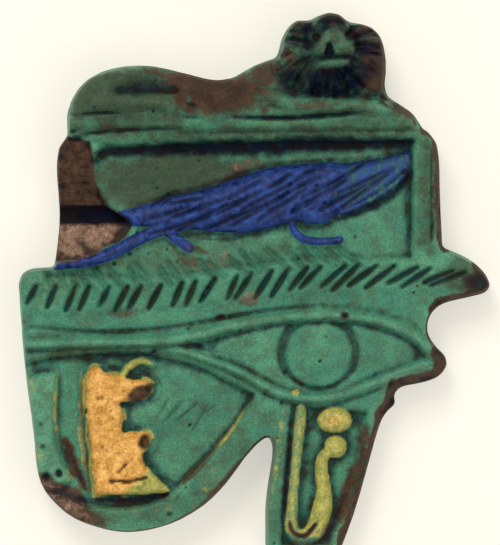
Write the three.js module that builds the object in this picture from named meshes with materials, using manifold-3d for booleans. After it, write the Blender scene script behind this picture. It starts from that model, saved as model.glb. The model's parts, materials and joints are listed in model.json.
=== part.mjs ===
// Composite wedjat amulet: one moulded faience body lying on its flat back, relief upwards.
// Millimetres, +Z up out of the relief, +Y towards the lion, +X towards the outer corner of the eye.
import * as THREE from 'three';
import { mergeVertices } from 'three/addons/utils/BufferGeometryUtils.js';
import Module from 'manifold-3d';

const wasm = await Module();
wasm.setup();

// Driving sizes. The width across the brow sets the scale of everything read from the photograph.
const BROW_WIDTH = 66;
const FACE = 7.6;
const PANEL_TOP = 8.2;
const RECESS_DEEP = 6.0;
const RECESS_SHALLOW = 7.2;
const CHEEK_FLOOR = 6.3;
const DROP_FLOOR = 6.4;
const EYE_FLOOR = 6.8;
const LID_HEIGHT = 0.9;
const LID_WIDTH = 1.7;
const FRAME_RIDGE = 0.5;
const BORE_DIAMETER = 2.4;
const BORE_Y = 9.6;
const BORE_Z = 4.2;
const IRIS = { x: 8.9, y: -9.7, radius: 4.5, groove: 1.2 };
const HATCH_COUNT = 22;
const EDGE_STEP = 1.5;
const WELD = 0.02;

// The plan places below were read from the photograph at this width.
const READ_WIDTH = 66;
const PLAN = BROW_WIDTH / READ_WIDTH;

// Plan outlines, counter-clockwise, as runs of curve points; runs meet at corners.
const PLAQUE_RUNS = [
  [[-28.3, 2.3], [-31.8, 2.0], [-33, 0.4], [-32.9, -2], [-32.3, -10], [-31, -20.5], [-30.2, -27],
    [-28.2, -30.4], [-24.5, -33.2], [-18.5, -34.8], [-12.5, -33.9], [-7.5, -31.3], [-4, -28],
    [-1.2, -24.2], [1, -21.9], [1.9, -21.4]],
  [[1.9, -21.4], [2.4, -23], [1.9, -27], [1.4, -31], [1.4, -37.2]],
  [[1.4, -37.2], [2.1, -37.9], [11, -37.9], [11.9, -37.4]],
  [[11.9, -37.4], [14, -31.8], [15.9, -25.2], [17.2, -20.5], [18.2, -18.2], [19.7, -16.9]],
  [[19.7, -16.9], [19.4, -15.6], [20.3, -14.5], [23.5, -13.9], [25.8, -13], [26.9, -11.3], [26.6, -10]],
  [[26.6, -10], [25.2, -8.7], [24.1, -6.8], [24.5, -4.4], [26.5, -2.8], [30.5, -1.9], [32.2, -1.4]],
  [[32.2, -1.4], [32.95, -0.4], [32, 1.6], [29.5, 3.7], [26, 5.1]],
  [[26, 5.1], [-28.3, 2.3]],
];
const PANEL_RUNS = [
  [[-28.2, 1], [26.2, 1]],
  [[26.2, 1], [26.2, 5.1], [25.9, 12], [25.7, 18], [25.1, 20.4], [24, 21.4]],
  [[24, 21.4], [-26.2, 20.6]],
  [[-26.2, 20.6], [-27.3, 19.5], [-27.7, 16], [-27.3, 10], [-27.5, 6.5], [-28.2, 1]],
];
const PANEL_FOOT_RUNS = [
  [[-30, 0], [28, 0]],
  [[28, 0], [28, 5.8]],
  [[28, 5.8], [21.6, 5.8]],
  [[21.6, 5.8], [21.6, 3.3]],
  [[21.6, 3.3], [-30, 3.3]],
  [[-30, 3.3], [-30, 0]],
];
const LION_RUNS = [
  [[-26.1, 20], [23.9, 20.6]],
  [[23.9, 20.6], [22, 23.8], [18.4, 26.2], [15, 30], [6, 31.6], [2.4, 31.3], [-0.8, 30.1], [-3, 28.7],
    [-6, 28.4], [-10, 29.4], [-15, 30.4], [-20, 30], [-24, 28], [-26.2, 24], [-26.1, 20]],
];
const HEAD_RUNS = [
  [[3.3, 32.5], [2.6, 29.5], [5, 25.5], [11, 24.2], [16, 24.6], [18.4, 26.2]],
  [[18.4, 26.2], [18.1, 28.2], [18.4, 30.2], [17.8, 34], [16.2, 35.8], [13, 36.5]],
  [[13, 36.5], [12, 37.5], [10.7, 37.9], [9.2, 37.5], [7.4, 36.6]],
  [[7.4, 36.6], [6.2, 36.95], [4.4, 35.6], [3.5, 33.7], [3.3, 32.5]],
];
const CHEEK_RUNS = [
  [[-34, -11], [-28, -9.9], [-20, -9.5], [-14, -9.7], [-8, -11.2], [-3, -13.7], [0, -15.2]].reverse(),
  [[-34, -11], [-34, -27]],
  [[-34, -27], [-28, -29], [-23, -30.6], [-17, -31], [-12.5, -29.8], [-9, -27]],
  [[-9, -27], [-5.8, -23.4], [-2.6, -19.4], [0, -15.2]],
];
const DROP_RUNS = [
  [[5, -16.8], [4.6, -21], [4, -27], [3.4, -36.4]],
  [[3.4, -36.4], [10.6, -36.4]],
  [[10.6, -36.4], [12.6, -30.5], [14.6, -23], [15.8, -17.6]],
  [[15.8, -17.6], [11, -17.2], [5, -16.8]],
];
const EYE_RUNS = [
  [[-9, -8.6], [-4, -7.2], [0, -6.1], [5, -5.4], [10, -5.2], [15, -5.7], [19, -7.2], [23.6, -10.4]].reverse(),
  [[-9, -8.6], [-4, -10.2], [-1, -11.6], [2, -13.4], [5, -14.8], [9, -15.2], [13, -14.3], [18, -12.3],
    [23.6, -10.4]],
];
const PANEL_RECESS_RUNS = [
  [[-29, 0.6], [-12, 0.6], [0, 2.1], [10, 2.9], [22, 3]],
  [[22, 3], [22, 20.2]],
  [[22, 20.2], [5, 20], [-15, 19.2], [-20.6, 18.9], [-22.6, 17.4]],
  [[-22.6, 17.4], [-22.8, 10], [-29, 0.6]],
];
const FIGURE_RUNS = [
  [[-23.3, -12.2], [-23.4, -16], [-22.7, -23], [-22.2, -29.3]],
  [[-22.2, -29.3], [-16, -29.3], [-11.4, -28.9]],
  [[-11.4, -28.9], [-14.6, -25.6], [-15.3, -23.8], [-14.3, -21.2], [-15.6, -20.4], [-18.2, -20.6]],
  [[-18.2, -20.6], [-18.4, -16.6]],
  [[-18.4, -16.6], [-14.9, -15.6], [-14.4, -13.8], [-18.6, -12.8]],
  [[-18.6, -12.8], [-20.6, -12.2], [-21.9, -11.5], [-23.3, -12.2]],
];
const STRIP_RUNS = [
  [[-31.4, -13], [-31, -18], [-30.6, -23], [-29.8, -27.6]],
  [[-29.8, -27.6], [-27.4, -28.6], [-25.2, -27.6], [-26.6, -24.4], [-27.6, -20], [-27.3, -12]],
  [[-27.3, -12], [-31.4, -13]],
];

// Paths of ridges and grooves.
const UPPER_LID = [[-31.6, -8.5], [-20, -8.2], [-11, -7.8], [-2.3, -5.8], [4.4, -4.7], [11, -4.4], [16.3, -5],
  [20.4, -6.3], [23, -8], [25, -10.6]];
const LOWER_LID = [[-13, -8.6], [-7.6, -10], [-2.3, -12], [1.2, -14], [4, -15.4], [7.5, -15.9], [11, -15.6],
  [15, -14.4], [21, -12], [25, -10.9]];
const COSMETIC_GROOVE = [[-31, -6], [-21, -6.6], [-12, -6], [-4.8, -4.8], [3, -3.6], [12, -2.8]];
const BROW_SPINE = [[-33, -0.3], [-20, -0.5], [-10, 0], [0, 1.5], [10, 2.3], [20, 2.4], [31.5, 1.4]];
const BROW_FOOT = [[-33, -3.9], [-20, -3.7], [-10, -2.9], [0, -1.8], [10, -1], [20, -0.9], [31.5, -0.6]];
const URAEUS = [[6.8, -17.4], [6.2, -21], [5.5, -26], [5.1, -31], [5.2, -34.2], [6.8, -35.3], [8.5, -34.2],
  [9.2, -29], [9.2, -25.6], [10.4, -23.2]];
// Crocodile spine from tail to snout: x, y, half width, height above the recess floor.
const CROCODILE = [
  [-27.2, 3.1, 0.5, 0.5], [-22, 3.5, 0.8, 0.7], [-18.5, 5.2, 1.4, 1], [-15.5, 8.2, 2.2, 1.5],
  [-11.5, 9.7, 3, 1.9], [-6, 10.1, 3.8, 2.1], [-1, 11, 4, 2.2], [4, 12.4, 3.9, 2.2],
  [9, 13, 3.8, 2.1], [13.5, 14, 3.1, 1.9], [18, 15.7, 2, 1.5], [21.6, 17.8, 0.9, 1],
];
const FORELEG = [[5.6, 9.6], [6, 7.6], [7.4, 6.1], [9.6, 5.9], [12, 6.1]];
const HINDLEG = [[-12.8, 7.6], [-11, 6], [-9.2, 4.3], [-6.4, 3.2]];

// Mesh helpers

function solid(geometry) {
  geometry.deleteAttribute('normal');
  geometry.deleteAttribute('uv');
  const welded = mergeVertices(geometry, 1e-4);
  return new wasm.Manifold(new wasm.Mesh({
    numProp: 3,
    tolerance: WELD,
    vertProperties: new Float32Array(welded.attributes.position.array),
    triVerts: new Uint32Array(welded.index.array),
  }));
}

// Equal rings, each counter-clockwise seen from the end of the loft, joined into one closed solid.
function loft(rings, capOutline) {
  const count = rings[0].length;
  const positions = rings.flat().flatMap((p) => [p.x, p.y, p.z]);
  const faces = [];
  for (let r = 0; r + 1 < rings.length; r += 1) {
    for (let i = 0; i < count; i += 1) {
      const next = (i + 1) % count;
      const low = r * count;
      const high = low + count;
      faces.push(low + i, low + next, high + next, low + i, high + next, high + i);
    }
  }
  const last = (rings.length - 1) * count;
  for (const [a, b, c] of THREE.ShapeUtils.triangulateShape(capOutline, [])) {
    faces.push(c, b, a, last + a, last + b, last + c);
  }
  const geometry = new THREE.BufferGeometry();
  geometry.setAttribute('position', new THREE.Float32BufferAttribute(positions, 3));
  geometry.setIndex(faces);
  return solid(geometry);
}

function vectors(pairs) {
  return pairs.map(([x, y]) => new THREE.Vector2(x * PLAN, y * PLAN));
}

function spaced(pairs, count) {
  return new THREE.SplineCurve(vectors(pairs)).getSpacedPoints(count);
}

function closedOutline(runs, step = EDGE_STEP) {
  const points = [];
  for (const run of runs) {
    const length = new THREE.SplineCurve(vectors(run)).getLength();
    const count = run.length === 2 ? 1 : Math.ceil(length / step);
    points.push(...spaced(run, count).slice(0, -1));
  }
  return points;
}

// A plate whose walls step inwards: levels are [height, inset] pairs from the bottom up.
function plate(runs, levels, step) {
  const outline = closedOutline(runs, step);
  const normals = outline.map((point, i) => {
    const before = outline.at(i - 1);
    const after = outline[(i + 1) % outline.length];
    const along = after.clone().sub(before).normalize();
    return new THREE.Vector2(-along.y, along.x);
  });
  const rings = levels.map(([z, inset]) => outline.map((point, i) => (
    new THREE.Vector3(point.x + normals[i].x * inset, point.y + normals[i].y * inset, z))));
  return loft(rings, outline);
}

// A dome over an outline: levels are [height, share], the share drawing the outline in to a spine.
function dome(runs, spineEnds, levels, step) {
  const outline = closedOutline(runs, step);
  const [start, end] = vectors(spineEnds);
  const spine = new THREE.Line3(new THREE.Vector3(start.x, start.y, 0), new THREE.Vector3(end.x, end.y, 0));
  const rings = levels.map(([z, share]) => outline.map((point) => {
    const from = new THREE.Vector3(point.x, point.y, 0);
    const target = spine.closestPointToPoint(from, true, new THREE.Vector3());
    const drawn = from.lerp(target, share);
    return new THREE.Vector3(drawn.x, drawn.y, z);
  }));
  return loft(rings, outline);
}

// A section of [across, up] pairs carried along a plan path; sizeAt and levelAt take the share of the way.
function sweep(path, section, sizeAt, levelAt) {
  const rings = path.map((point, i) => {
    const before = path[Math.max(i - 1, 0)];
    const after = path[Math.min(i + 1, path.length - 1)];
    const along = after.clone().sub(before).normalize();
    const share = i / (path.length - 1);
    const size = sizeAt(share);
    const level = levelAt(share, point);
    return section.map(([across, up]) => new THREE.Vector3(
      point.x - along.y * across * size.width,
      point.y + along.x * across * size.width,
      level + up * size.height,
    ));
  });
  return loft(rings, section.map(([across, up]) => new THREE.Vector2(across, up)));
}

// Cross-sections one unit wide and one unit high.
const ROUND_RIDGE = [[-0.5, -1], [0.5, -1], [0.5, 0], [0.33, 0.7], [0, 1], [-0.33, 0.7], [-0.5, 0]];
const BROKEN_EDGE = [[-1.5, -2.75], [1, 0.15], [-1.5, 0.15]];
const V_GROOVE = [[-0.5, 0], [0, -1], [0.5, 0], [0.5, 1.5], [-0.5, 1.5]];

function tapered(width, height, end) {
  return (share) => {
    const swell = Math.min(1, end + 4 * Math.min(share, 1 - share));
    return { width: width * swell, height: height * swell };
  };
}

// A level is one height, or a pair for the heights at the two ends.
function levelLine(level) {
  const [from, to] = Array.isArray(level) ? level : [level, level];
  return (share) => THREE.MathUtils.lerp(from, to, share);
}

function ridge(pairs, count, width, height, level, end = 0.35) {
  return sweep(spaced(pairs, count), ROUND_RIDGE, tapered(width, height, end), levelLine(level));
}

function groove(pairs, count, width, depth, level) {
  return sweep(spaced(pairs, count), V_GROOVE, tapered(width, depth, 0.3), levelLine(level));
}

// A worn slope along an edge that runs counter-clockwise round the outline.
function wornEdge(pairs, count, reach) {
  const sizeAt = () => ({ width: reach, height: reach });
  return sweep(spaced(pairs, count), BROKEN_EDGE, sizeAt, () => FACE);
}

function blob([x, y, z], [rx, ry, rz], turn = 0, around = 14) {
  const geometry = new THREE.SphereGeometry(1, around, Math.round(around * 0.6));
  geometry.scale(rx, ry, rz);
  geometry.rotateZ(turn);
  geometry.translate(x * PLAN, y * PLAN, z);
  return solid(geometry);
}

function pointAtX(pairs, x) {
  const points = spaced(pairs, 60);
  const i = points.findIndex((p) => p.x >= x * PLAN);
  return points[Math.max(i, 0)].y / PLAN;
}

// A cutter with a plan outline whose floor follows a [y, z] line drawn from low y to high y.
function slopedCutter(runs, floorLine, step) {
  const top = 40;
  const across = [...floorLine, [floorLine.at(-1)[0], top], [floorLine[0][0], top]];
  const end = (x) => across.map(([y, z]) => new THREE.Vector3(x, y * PLAN, z));
  const trough = loft([end(-50), end(50)], across.map(([y, z]) => new THREE.Vector2(y, z)));
  return trough.intersect(plate(runs, [[0, 0], [top, 0]], step));
}

function unite(parts) {
  return parts.reduce((whole, part) => whole.add(part));
}

function cut(whole, parts) {
  return parts.reduce((rest, part) => rest.subtract(part), whole);
}

// The three blocks that make the silhouette

const plaque = plate(PLAQUE_RUNS, [[0, 0.3], [0.4, 0], [6.7, 0.55], [FACE, 1]]);
const panelBlock = plate(PANEL_RUNS, [[0, 0.3], [0.4, 0], [7.2, 0.5], [PANEL_TOP, 1]], 2.5);
const panel = panelBlock.subtract(plate(PANEL_FOOT_RUNS, [[FACE - 0.05, 0.3], [20, 0]]));
const lionBody = dome(LION_RUNS, [[-19.5, 24.6], [17, 23.6]],
  [[0, 0.05], [0.4, 0], [5, 0.06], [7.4, 0.2], [9, 0.44], [9.9, 0.76]], 1.9);
const headBlock = dome(HEAD_RUNS, [[10.6, 30.6], [10.8, 31.6]],
  [[0, 0.05], [0.4, 0], [6, 0.06], [9, 0.18], [10.5, 0.34], [11.1, 0.52]], 1.9);

// Brow, lids and iris

const recessLine = [[0, RECESS_SHALLOW], [3.6, RECESS_SHALLOW], [18.6, RECESS_DEEP], [20.4, RECESS_DEEP + 0.5]];
const eyeCut = plate(EYE_RUNS, [[EYE_FLOOR, 0.3], [20, 0]]);
const lids = unite([
  ridge(UPPER_LID, 28, LID_WIDTH, LID_HEIGHT, FACE - 0.1),
  ridge(LOWER_LID, 22, LID_WIDTH, LID_HEIGHT, FACE - 0.1),
]);
const eyeball = blob([IRIS.x, IRIS.y, EYE_FLOOR - 1.4], [11.5, 5.6, 2.3], -0.02, 18);
const irisWall = IRIS.radius + IRIS.groove / 2;
const irisRing = new THREE.LatheGeometry([
  new THREE.Vector2(IRIS.radius, 2),
  new THREE.Vector2(IRIS.radius, 0.1),
  new THREE.Vector2(irisWall, -0.65),
  new THREE.Vector2(irisWall + IRIS.groove / 2, 0.1),
  new THREE.Vector2(irisWall + IRIS.groove / 2, 2),
  new THREE.Vector2(IRIS.radius, 2),
], 28);
irisRing.rotateX(Math.PI / 2);
irisRing.translate(IRIS.x * PLAN, IRIS.y * PLAN, EYE_FLOOR + 0.6);

function browHatches() {
  const cutters = [];
  for (let i = 0; i < HATCH_COUNT; i += 1) {
    const share = i / (HATCH_COUNT - 1);
    const topX = -29.4 + 59.6 * (0.78 * share + 0.22 * share * share);
    const lean = 1.2 + 3.8 * share;
    const bottomX = topX - lean;
    const start = [bottomX, pointAtX(BROW_FOOT, bottomX)];
    const end = [topX, pointAtX(BROW_SPINE, topX) - 0.2];
    cutters.push(groove([start, end], 3, 0.85, 0.75, FACE + 0.05));
  }
  return cutters;
}

// Crocodile in the panel

function recessFloor(y) {
  const rise = THREE.MathUtils.clamp((18.6 - y) / 15, 0, 1);
  return RECESS_DEEP + (RECESS_SHALLOW - RECESS_DEEP) * rise;
}

// Width and height of the crocodile at a place along its spine, between the two nearest stations.
function crocodileSize(x) {
  const found = CROCODILE.findIndex(([stationX]) => stationX >= x);
  const i = THREE.MathUtils.clamp(found, 1, CROCODILE.length - 1);
  const [x0, , width0, height0] = CROCODILE[i - 1];
  const [x1, , width1, height1] = CROCODILE[i];
  const share = THREE.MathUtils.clamp((x - x0) / (x1 - x0), 0, 1);
  return {
    width: 2 * THREE.MathUtils.lerp(width0, width1, share),
    height: THREE.MathUtils.lerp(height0, height1, share),
  };
}

function crocodileBody() {
  const steps = 24;
  const path = spaced(CROCODILE.map(([x, y]) => [x, y]), steps);
  const sizeAt = (share) => crocodileSize(path[Math.round(share * steps)].x / PLAN);
  return sweep(path, ROUND_RIDGE, sizeAt, (share, point) => recessFloor(point.y / PLAN) - 0.05);
}

const crocodile = unite([
  crocodileBody(),
  ridge(FORELEG, 9, 1.5, 1.2, [RECESS_SHALLOW - 0.1, RECESS_SHALLOW - 0.3], 0.6),
  ridge(HINDLEG, 7, 1.4, 1.1, RECESS_SHALLOW - 0.1, 0.5),
]);

function scutes() {
  const cutters = [];
  const count = 10;
  for (let i = 0; i < count; i += 1) {
    const x = -15 + i * 2.7;
    const y = 8 + i * 0.55;
    cutters.push(groove([[x, y], [x + 2.9, y + 2.1], [x + 5, y + 3.3]], 4, 0.6, 0.5, 8.55));
  }
  cutters.push(groove([[11.4, 11.2], [15, 12.9], [19.6, 15.6]], 4, 0.6, 0.8, 7.6));
  return cutters;
}

// Cheek figure, left strip and uraeus

const figure = plate(FIGURE_RUNS, [[CHEEK_FLOOR - 1, 0], [CHEEK_FLOOR + 1.2, 0], [CHEEK_FLOOR + 1.7, 0.45]], 1.6);
const strip = plate(STRIP_RUNS, [[CHEEK_FLOOR - 1, 0], [CHEEK_FLOOR + 0.8, 0.1], [CHEEK_FLOOR + 1.1, 0.4]], 2);
const horn = ridge([[-18.3, -12.7], [-17.2, -11.2], [-15.6, -10.7], [-14.2, -11.1]], 8, 0.9, 1.2, CHEEK_FLOOR, 0.5);
const uraeus = unite([
  sweep(spaced(URAEUS, 26), ROUND_RIDGE, (share) => ({
    width: share < 0.5 ? 1.2 : 1.9 - 0.4 * Math.max(0, share - 0.8) * 5,
    height: 1.4,
  }), () => DROP_FLOOR - 0.05),
  blob([11.4, -22.8, DROP_FLOOR + 0.4], [1.5, 1.5, 1.4], 0, 10),
  blob([11.1, -18.9, DROP_FLOOR + 0.4], [2.2, 2, 1.5], 0, 12),
  ridge([[11.3, -23], [11.2, -19]], 2, 1.3, 1.2, DROP_FLOOR, 0.9),
]);

const figureCuts = [
  groove([[-19.8, -27.3], [-15, -27]], 3, 0.7, 0.8, CHEEK_FLOOR + 1.7),
  groove([[-18.8, -26], [-17, -24.4]], 2, 0.6, 0.6, CHEEK_FLOOR + 1.7),
  blob([-15.3, -22, CHEEK_FLOOR + 1.7], [0.6, 1, 0.8], 0, 8),
  blob([-28.9, -26.7, CHEEK_FLOOR + 1.1], [0.6, 0.7, 0.7], 0, 8),
  blob([-27.1, -26.3, CHEEK_FLOOR + 1.1], [0.5, 0.6, 0.7], 0, 8),
];

// Lion

const MUZZLE_RUNS = [
  [[10.5, 35.6], [9.3, 34], [8.1, 32.4], [8.8, 31.2], [10.8, 31], [13, 31.3], [13.5, 32.5], [11.8, 34],
    [10.5, 35.6]],
];
const headParts = [
  dome(MUZZLE_RUNS, [[10.6, 32.4], [10.8, 32.6]], [[9, -0.25], [11.4, 0], [12.3, 0.2], [12.7, 0.5]], 1.3),
  ridge([[8.4, 30.8], [10.9, 30.2], [13.5, 30.9]], 5, 1, 0.9, 11, 0.6),
  blob([5.9, 35.3, 9.4], [1.6, 1.5, 1.3], 0, 8),
  blob([15.9, 34.6, 9.4], [1.5, 1.3, 1.3], 0, 8),
  blob([10.7, 36.9, 8.8], [1.6, 1, 1.2], 0, 8),
];
const bodyParts = [
  blob([-20, 25.6, 8.1], [5.4, 3.9, 2.6], -0.1, 14),
  ridge([[-25.2, 22.4], [-18, 22.5], [-10, 22.3]], 6, 1.5, 1, 8.9, 0.5),
  ridge([[-18.5, 24.9], [-15, 25.1], [-11.4, 24.6]], 5, 1.4, 0.9, 9.8, 0.5),
  ridge([[2.2, 25.8], [6, 24.7], [12, 24.6], [17.6, 24]], 8, 2.1, 1, [9.8, 9.1], 0.5),
  blob([18.6, 22.7, 8.3], [2.8, 1.4, 1.6], -0.15, 10),
  ridge([[1, 22], [8, 21.9], [16, 22.4]], 6, 1.2, 0.8, 8.7, 0.5),
];

function maneLocks() {
  const cutters = [];
  const count = 15;
  for (let i = 0; i < count; i += 1) {
    const angle = (i / count) * 2 * Math.PI + 0.1;
    const inner = [10.7 + 4 * Math.cos(angle), 31.2 + 3.9 * Math.sin(angle)];
    const outer = [10.7 + 7 * Math.cos(angle), 31.2 + 6.4 * Math.sin(angle)];
    cutters.push(groove([inner, outer], 3, 1.1, 0.9, [11, 9.6]));
  }
  return cutters;
}

const lionCuts = [
  groove([[-18.6, 26.6], [-15, 27.6], [-11, 26.7]], 5, 1.9, 1.3, 9.9),
  groove([[-24, 23.5], [-18, 23.7]], 3, 0.7, 0.7, 10),
  groove([[-24, 21], [-17, 21.3], [-9, 21.6]], 4, 0.7, 0.7, 8.6),
  groove([[-4, 23.2], [4, 23.1], [10, 23.2], [15, 23.4]], 5, 0.8, 0.9, 9.9),
  groove([[8.2, 31], [10.6, 30.95], [13.4, 31.2]], 4, 0.5, 0.8, 12),
  groove([[10.4, 33.2], [10.5, 31.2]], 2, 1, 0.9, 12.8),
  blob([8, 35, 11.1], [0.8, 0.6, 0.7], 0, 8),
  blob([12.7, 35.2, 11.1], [0.8, 0.6, 0.7], 0, 8),
];

// Broken left end of the bore

const breakPlan = [
  [[-30, 2.4], [-24, 2.6], [-22.2, 3.6]],
  [[-22.2, 3.6], [-18.4, 6], [-17.2, 8.4], [-19.4, 10.2], [-21.6, 13], [-22.4, 18.6]],
  [[-22.4, 18.6], [-30, 20]],
  [[-30, 20], [-30, 2.4]],
];
const breakFloor = [[2, 6.8], [5, 6.1], [8.4, 4.8], [9.6, 3.6], [10.8, 4.8], [14, 5.9], [18, 7], [20.2, 8.2]];
const breakCut = slopedCutter(breakPlan, breakFloor, 2);
const bore = new THREE.CylinderGeometry(BORE_DIAMETER / 2, BORE_DIAMETER / 2, 80, 14);
bore.rotateZ(Math.PI / 2);
bore.translate(0, BORE_Y * PLAN, BORE_Z);

// Worn edges, and the raised frame of the panel

const wornEdges = [
  wornEdge([[19.6, -16.2], [20.4, -14.6], [23.5, -14], [25.8, -13.1], [27.2, -11]], 7, 2),
  wornEdge([[12, -37.2], [14, -31.8], [15.9, -25.2], [17.2, -20.6], [18.6, -17.9]], 6, 1.2),
  wornEdge([[26.4, -2.9], [29, -2.2], [31, -1.8], [32.8, -0.9]], 4, 1.2),
];
const frame = [
  ridge([[-21, 20.4], [0, 20.8], [22.6, 21]], 6, 1, FRAME_RIDGE, PANEL_TOP - 0.05, 0.7),
  ridge([[23.1, 20.6], [23.2, 13], [23.3, 6]], 4, 1.8, FRAME_RIDGE, PANEL_TOP - 0.05, 0.8),
];

// Put together

let body = unite([plaque, panel, lionBody, headBlock]);
body = cut(body, [
  slopedCutter(PANEL_RECESS_RUNS, recessLine, 4),
  plate(CHEEK_RUNS, [[CHEEK_FLOOR, 0.35], [FACE, 0], [20, 0]], 2),
  plate(DROP_RUNS, [[DROP_FLOOR, 0.3], [FACE, 0], [20, 0]], 2.5),
  eyeCut,
]);
body = unite([body, eyeball.intersect(plate(EYE_RUNS, [[0, 0], [20, 0]]))]);
body = unite([body.subtract(solid(irisRing)), lids]);
body = cut(body, [groove(COSMETIC_GROOVE, 16, 0.6, 0.4, FACE), ...browHatches()]);
body = unite([body, crocodile, figure, strip, horn, uraeus, ...frame, ...headParts, ...bodyParts]);
body = cut(body, [...scutes(), ...figureCuts, ...maneLocks(), ...lionCuts, ...wornEdges]);
body = cut(body, [breakCut, solid(bore)]);

// The origin is the middle of the back.
function meshOf(whole, name, material) {
  const { vertProperties, triVerts } = whole.getMesh();
  const geometry = new THREE.BufferGeometry();
  geometry.setAttribute('position', new THREE.BufferAttribute(vertProperties, 3));
  geometry.setIndex(new THREE.BufferAttribute(triVerts, 1));
  geometry.computeBoundingBox();
  const middle = geometry.boundingBox.getCenter(new THREE.Vector3());
  geometry.translate(-middle.x, -middle.y, 0);
  geometry.computeVertexNormals();
  const mesh = new THREE.Mesh(geometry, material);
  mesh.name = name;
  return mesh;
}

const faience = new THREE.MeshStandardMaterial({ color: 0x467e63, roughness: 0.45, metalness: 0 });
const amulet = new THREE.Group();
amulet.name = 'composite_wedjat_amulet';
amulet.add(meshOf(body, 'wedjat_amulet', faience));

export default amulet;
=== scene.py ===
# %% [markdown]
# # A composite wedjat amulet in coloured faience
# The real thing is one piece: quartz paste pressed into an open mould, touched up with a point, painted with
# coloured glazes and fired. Its back is flat and its face is low relief: an eye with its brow, cheek and drop,
# a crocodile in a sunk panel, and a lion lying on top. It lies on its back here, so the camera looks down.
# The imported solid gives the outline. This script models the same relief more finely.

# %% Load the solid
import json
import math

import bmesh
import bpy
import numpy as np
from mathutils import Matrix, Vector

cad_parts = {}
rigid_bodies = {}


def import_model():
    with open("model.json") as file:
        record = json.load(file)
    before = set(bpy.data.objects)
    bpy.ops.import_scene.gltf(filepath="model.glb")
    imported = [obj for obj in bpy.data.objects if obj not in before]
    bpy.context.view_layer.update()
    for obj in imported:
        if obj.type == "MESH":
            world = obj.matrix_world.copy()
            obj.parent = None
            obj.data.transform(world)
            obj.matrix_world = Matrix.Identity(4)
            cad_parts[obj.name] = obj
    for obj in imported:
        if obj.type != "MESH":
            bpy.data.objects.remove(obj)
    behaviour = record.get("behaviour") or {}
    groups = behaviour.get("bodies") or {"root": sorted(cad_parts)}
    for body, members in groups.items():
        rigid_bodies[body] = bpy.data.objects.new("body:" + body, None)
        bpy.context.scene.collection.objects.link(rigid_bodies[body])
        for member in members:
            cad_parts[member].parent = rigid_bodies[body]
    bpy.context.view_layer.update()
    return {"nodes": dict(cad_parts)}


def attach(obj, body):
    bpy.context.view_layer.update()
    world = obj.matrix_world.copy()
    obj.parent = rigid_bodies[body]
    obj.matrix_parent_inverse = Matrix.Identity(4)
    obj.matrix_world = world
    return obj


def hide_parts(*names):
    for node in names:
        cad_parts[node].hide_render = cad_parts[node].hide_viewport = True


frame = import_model()
solid = frame["nodes"]["wedjat_amulet"]
MM = 0.001

# %% [markdown]
# ## The outline
# The moulded edge is the one line that has to agree with the solid all the way round. It could be typed in
# again, but a cut through the solid just above its back gives it exactly. The cut is a chain of edges, which is
# walked into one loop, spread out evenly and smoothed a little, because hand-pressed paste has no facets.

# %% Cut the outline out of the solid
def outline_of(source, height):
    """The longest loop where a level cut meets the solid, as plan points in millimetres."""
    cut = bmesh.new()
    cut.from_mesh(source.data)
    bmesh.ops.remove_doubles(cut, verts=cut.verts, dist=1e-7)
    everything = cut.verts[:] + cut.edges[:] + cut.faces[:]
    found = bmesh.ops.bisect_plane(cut, geom=everything, plane_co=(0, 0, height * MM), plane_no=(0, 0, 1))
    rim = {edge for edge in found["geom_cut"] if isinstance(edge, bmesh.types.BMEdge)}
    loops = []
    while rim:
        edge = rim.pop()
        start, here = edge.verts
        loop = [start, here]
        while here is not start:
            edge = next((e for e in here.link_edges if e in rim), None)
            if edge is None:
                break
            rim.discard(edge)
            here = edge.other_vert(here)
            loop.append(here)
        loops.append(np.array([v.co[:2] for v in loop[:-1]]) / MM)
    cut.free()
    return max(loops, key=len)


def evenly(loop, step):
    """The same closed loop with points about one step apart."""
    closed = np.vstack([loop, loop[:1]])
    run = np.concatenate([[0], np.cumsum(np.linalg.norm(np.diff(closed, axis=0), axis=1))])
    places = np.arange(0, run[-1], run[-1] / round(run[-1] / step))
    return np.column_stack([np.interp(places, run, closed[:, k]) for k in (0, 1)])


def turned_left(loop):
    """The loop run counter-clockwise."""
    x, y = loop.T
    area = np.sum(x * np.roll(y, -1) - y * np.roll(x, -1))
    return loop if area > 0 else loop[::-1]


outline = turned_left(outline_of(solid, 0.5))
outline = evenly(np.roll(outline, -np.argmax(outline[:, 1]), axis=0), 0.4)  # starts at its top on every run
for _ in range(2):
    outline = 0.5 * outline + 0.25 * (np.roll(outline, 1, axis=0) + np.roll(outline, -1, axis=0))
print("outline:", len(outline), "points,", round(0.4 * len(outline)), "mm round")

# %% [markdown]
# ## Drawing on a plan grid
# Low relief is a height for every place on the plan, so a fine grid of heights can hold all of it. Every ridge,
# groove and hollow is then a rule about distance: how far a grid point lies from a drawn line, or how deep it
# lies inside a drawn shape. Lines are curves through a few points read from the photograph at 66 mm brow width.

# %% The grid and the distance rules
STEP = 0.215
grid_x = np.arange(-33.4, 33.5, STEP)
grid_y = np.arange(-38.4, 38.5, STEP)
X, Y = [a.ravel() for a in np.meshgrid(grid_x, grid_y)]


def curve_through(points, steps=8):
    """A smooth line through a few points; extra columns such as a width are carried along."""
    p = np.array(points, float)
    p = np.vstack([2 * p[0] - p[1], p, 2 * p[-1] - p[-2]])
    t = np.linspace(0, 1, steps, endpoint=False)[:, None]
    spans = []
    for a, b, c, d in zip(p[:-3], p[1:-2], p[2:-1], p[3:]):
        spans.append(0.5 * (2 * b + (c - a) * t + (2 * a - 5 * b + 4 * c - d) * t**2
                            + (3 * b - a - 3 * c + d) * t**3))
    return np.vstack(spans + [p[-2:-1]])


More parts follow.
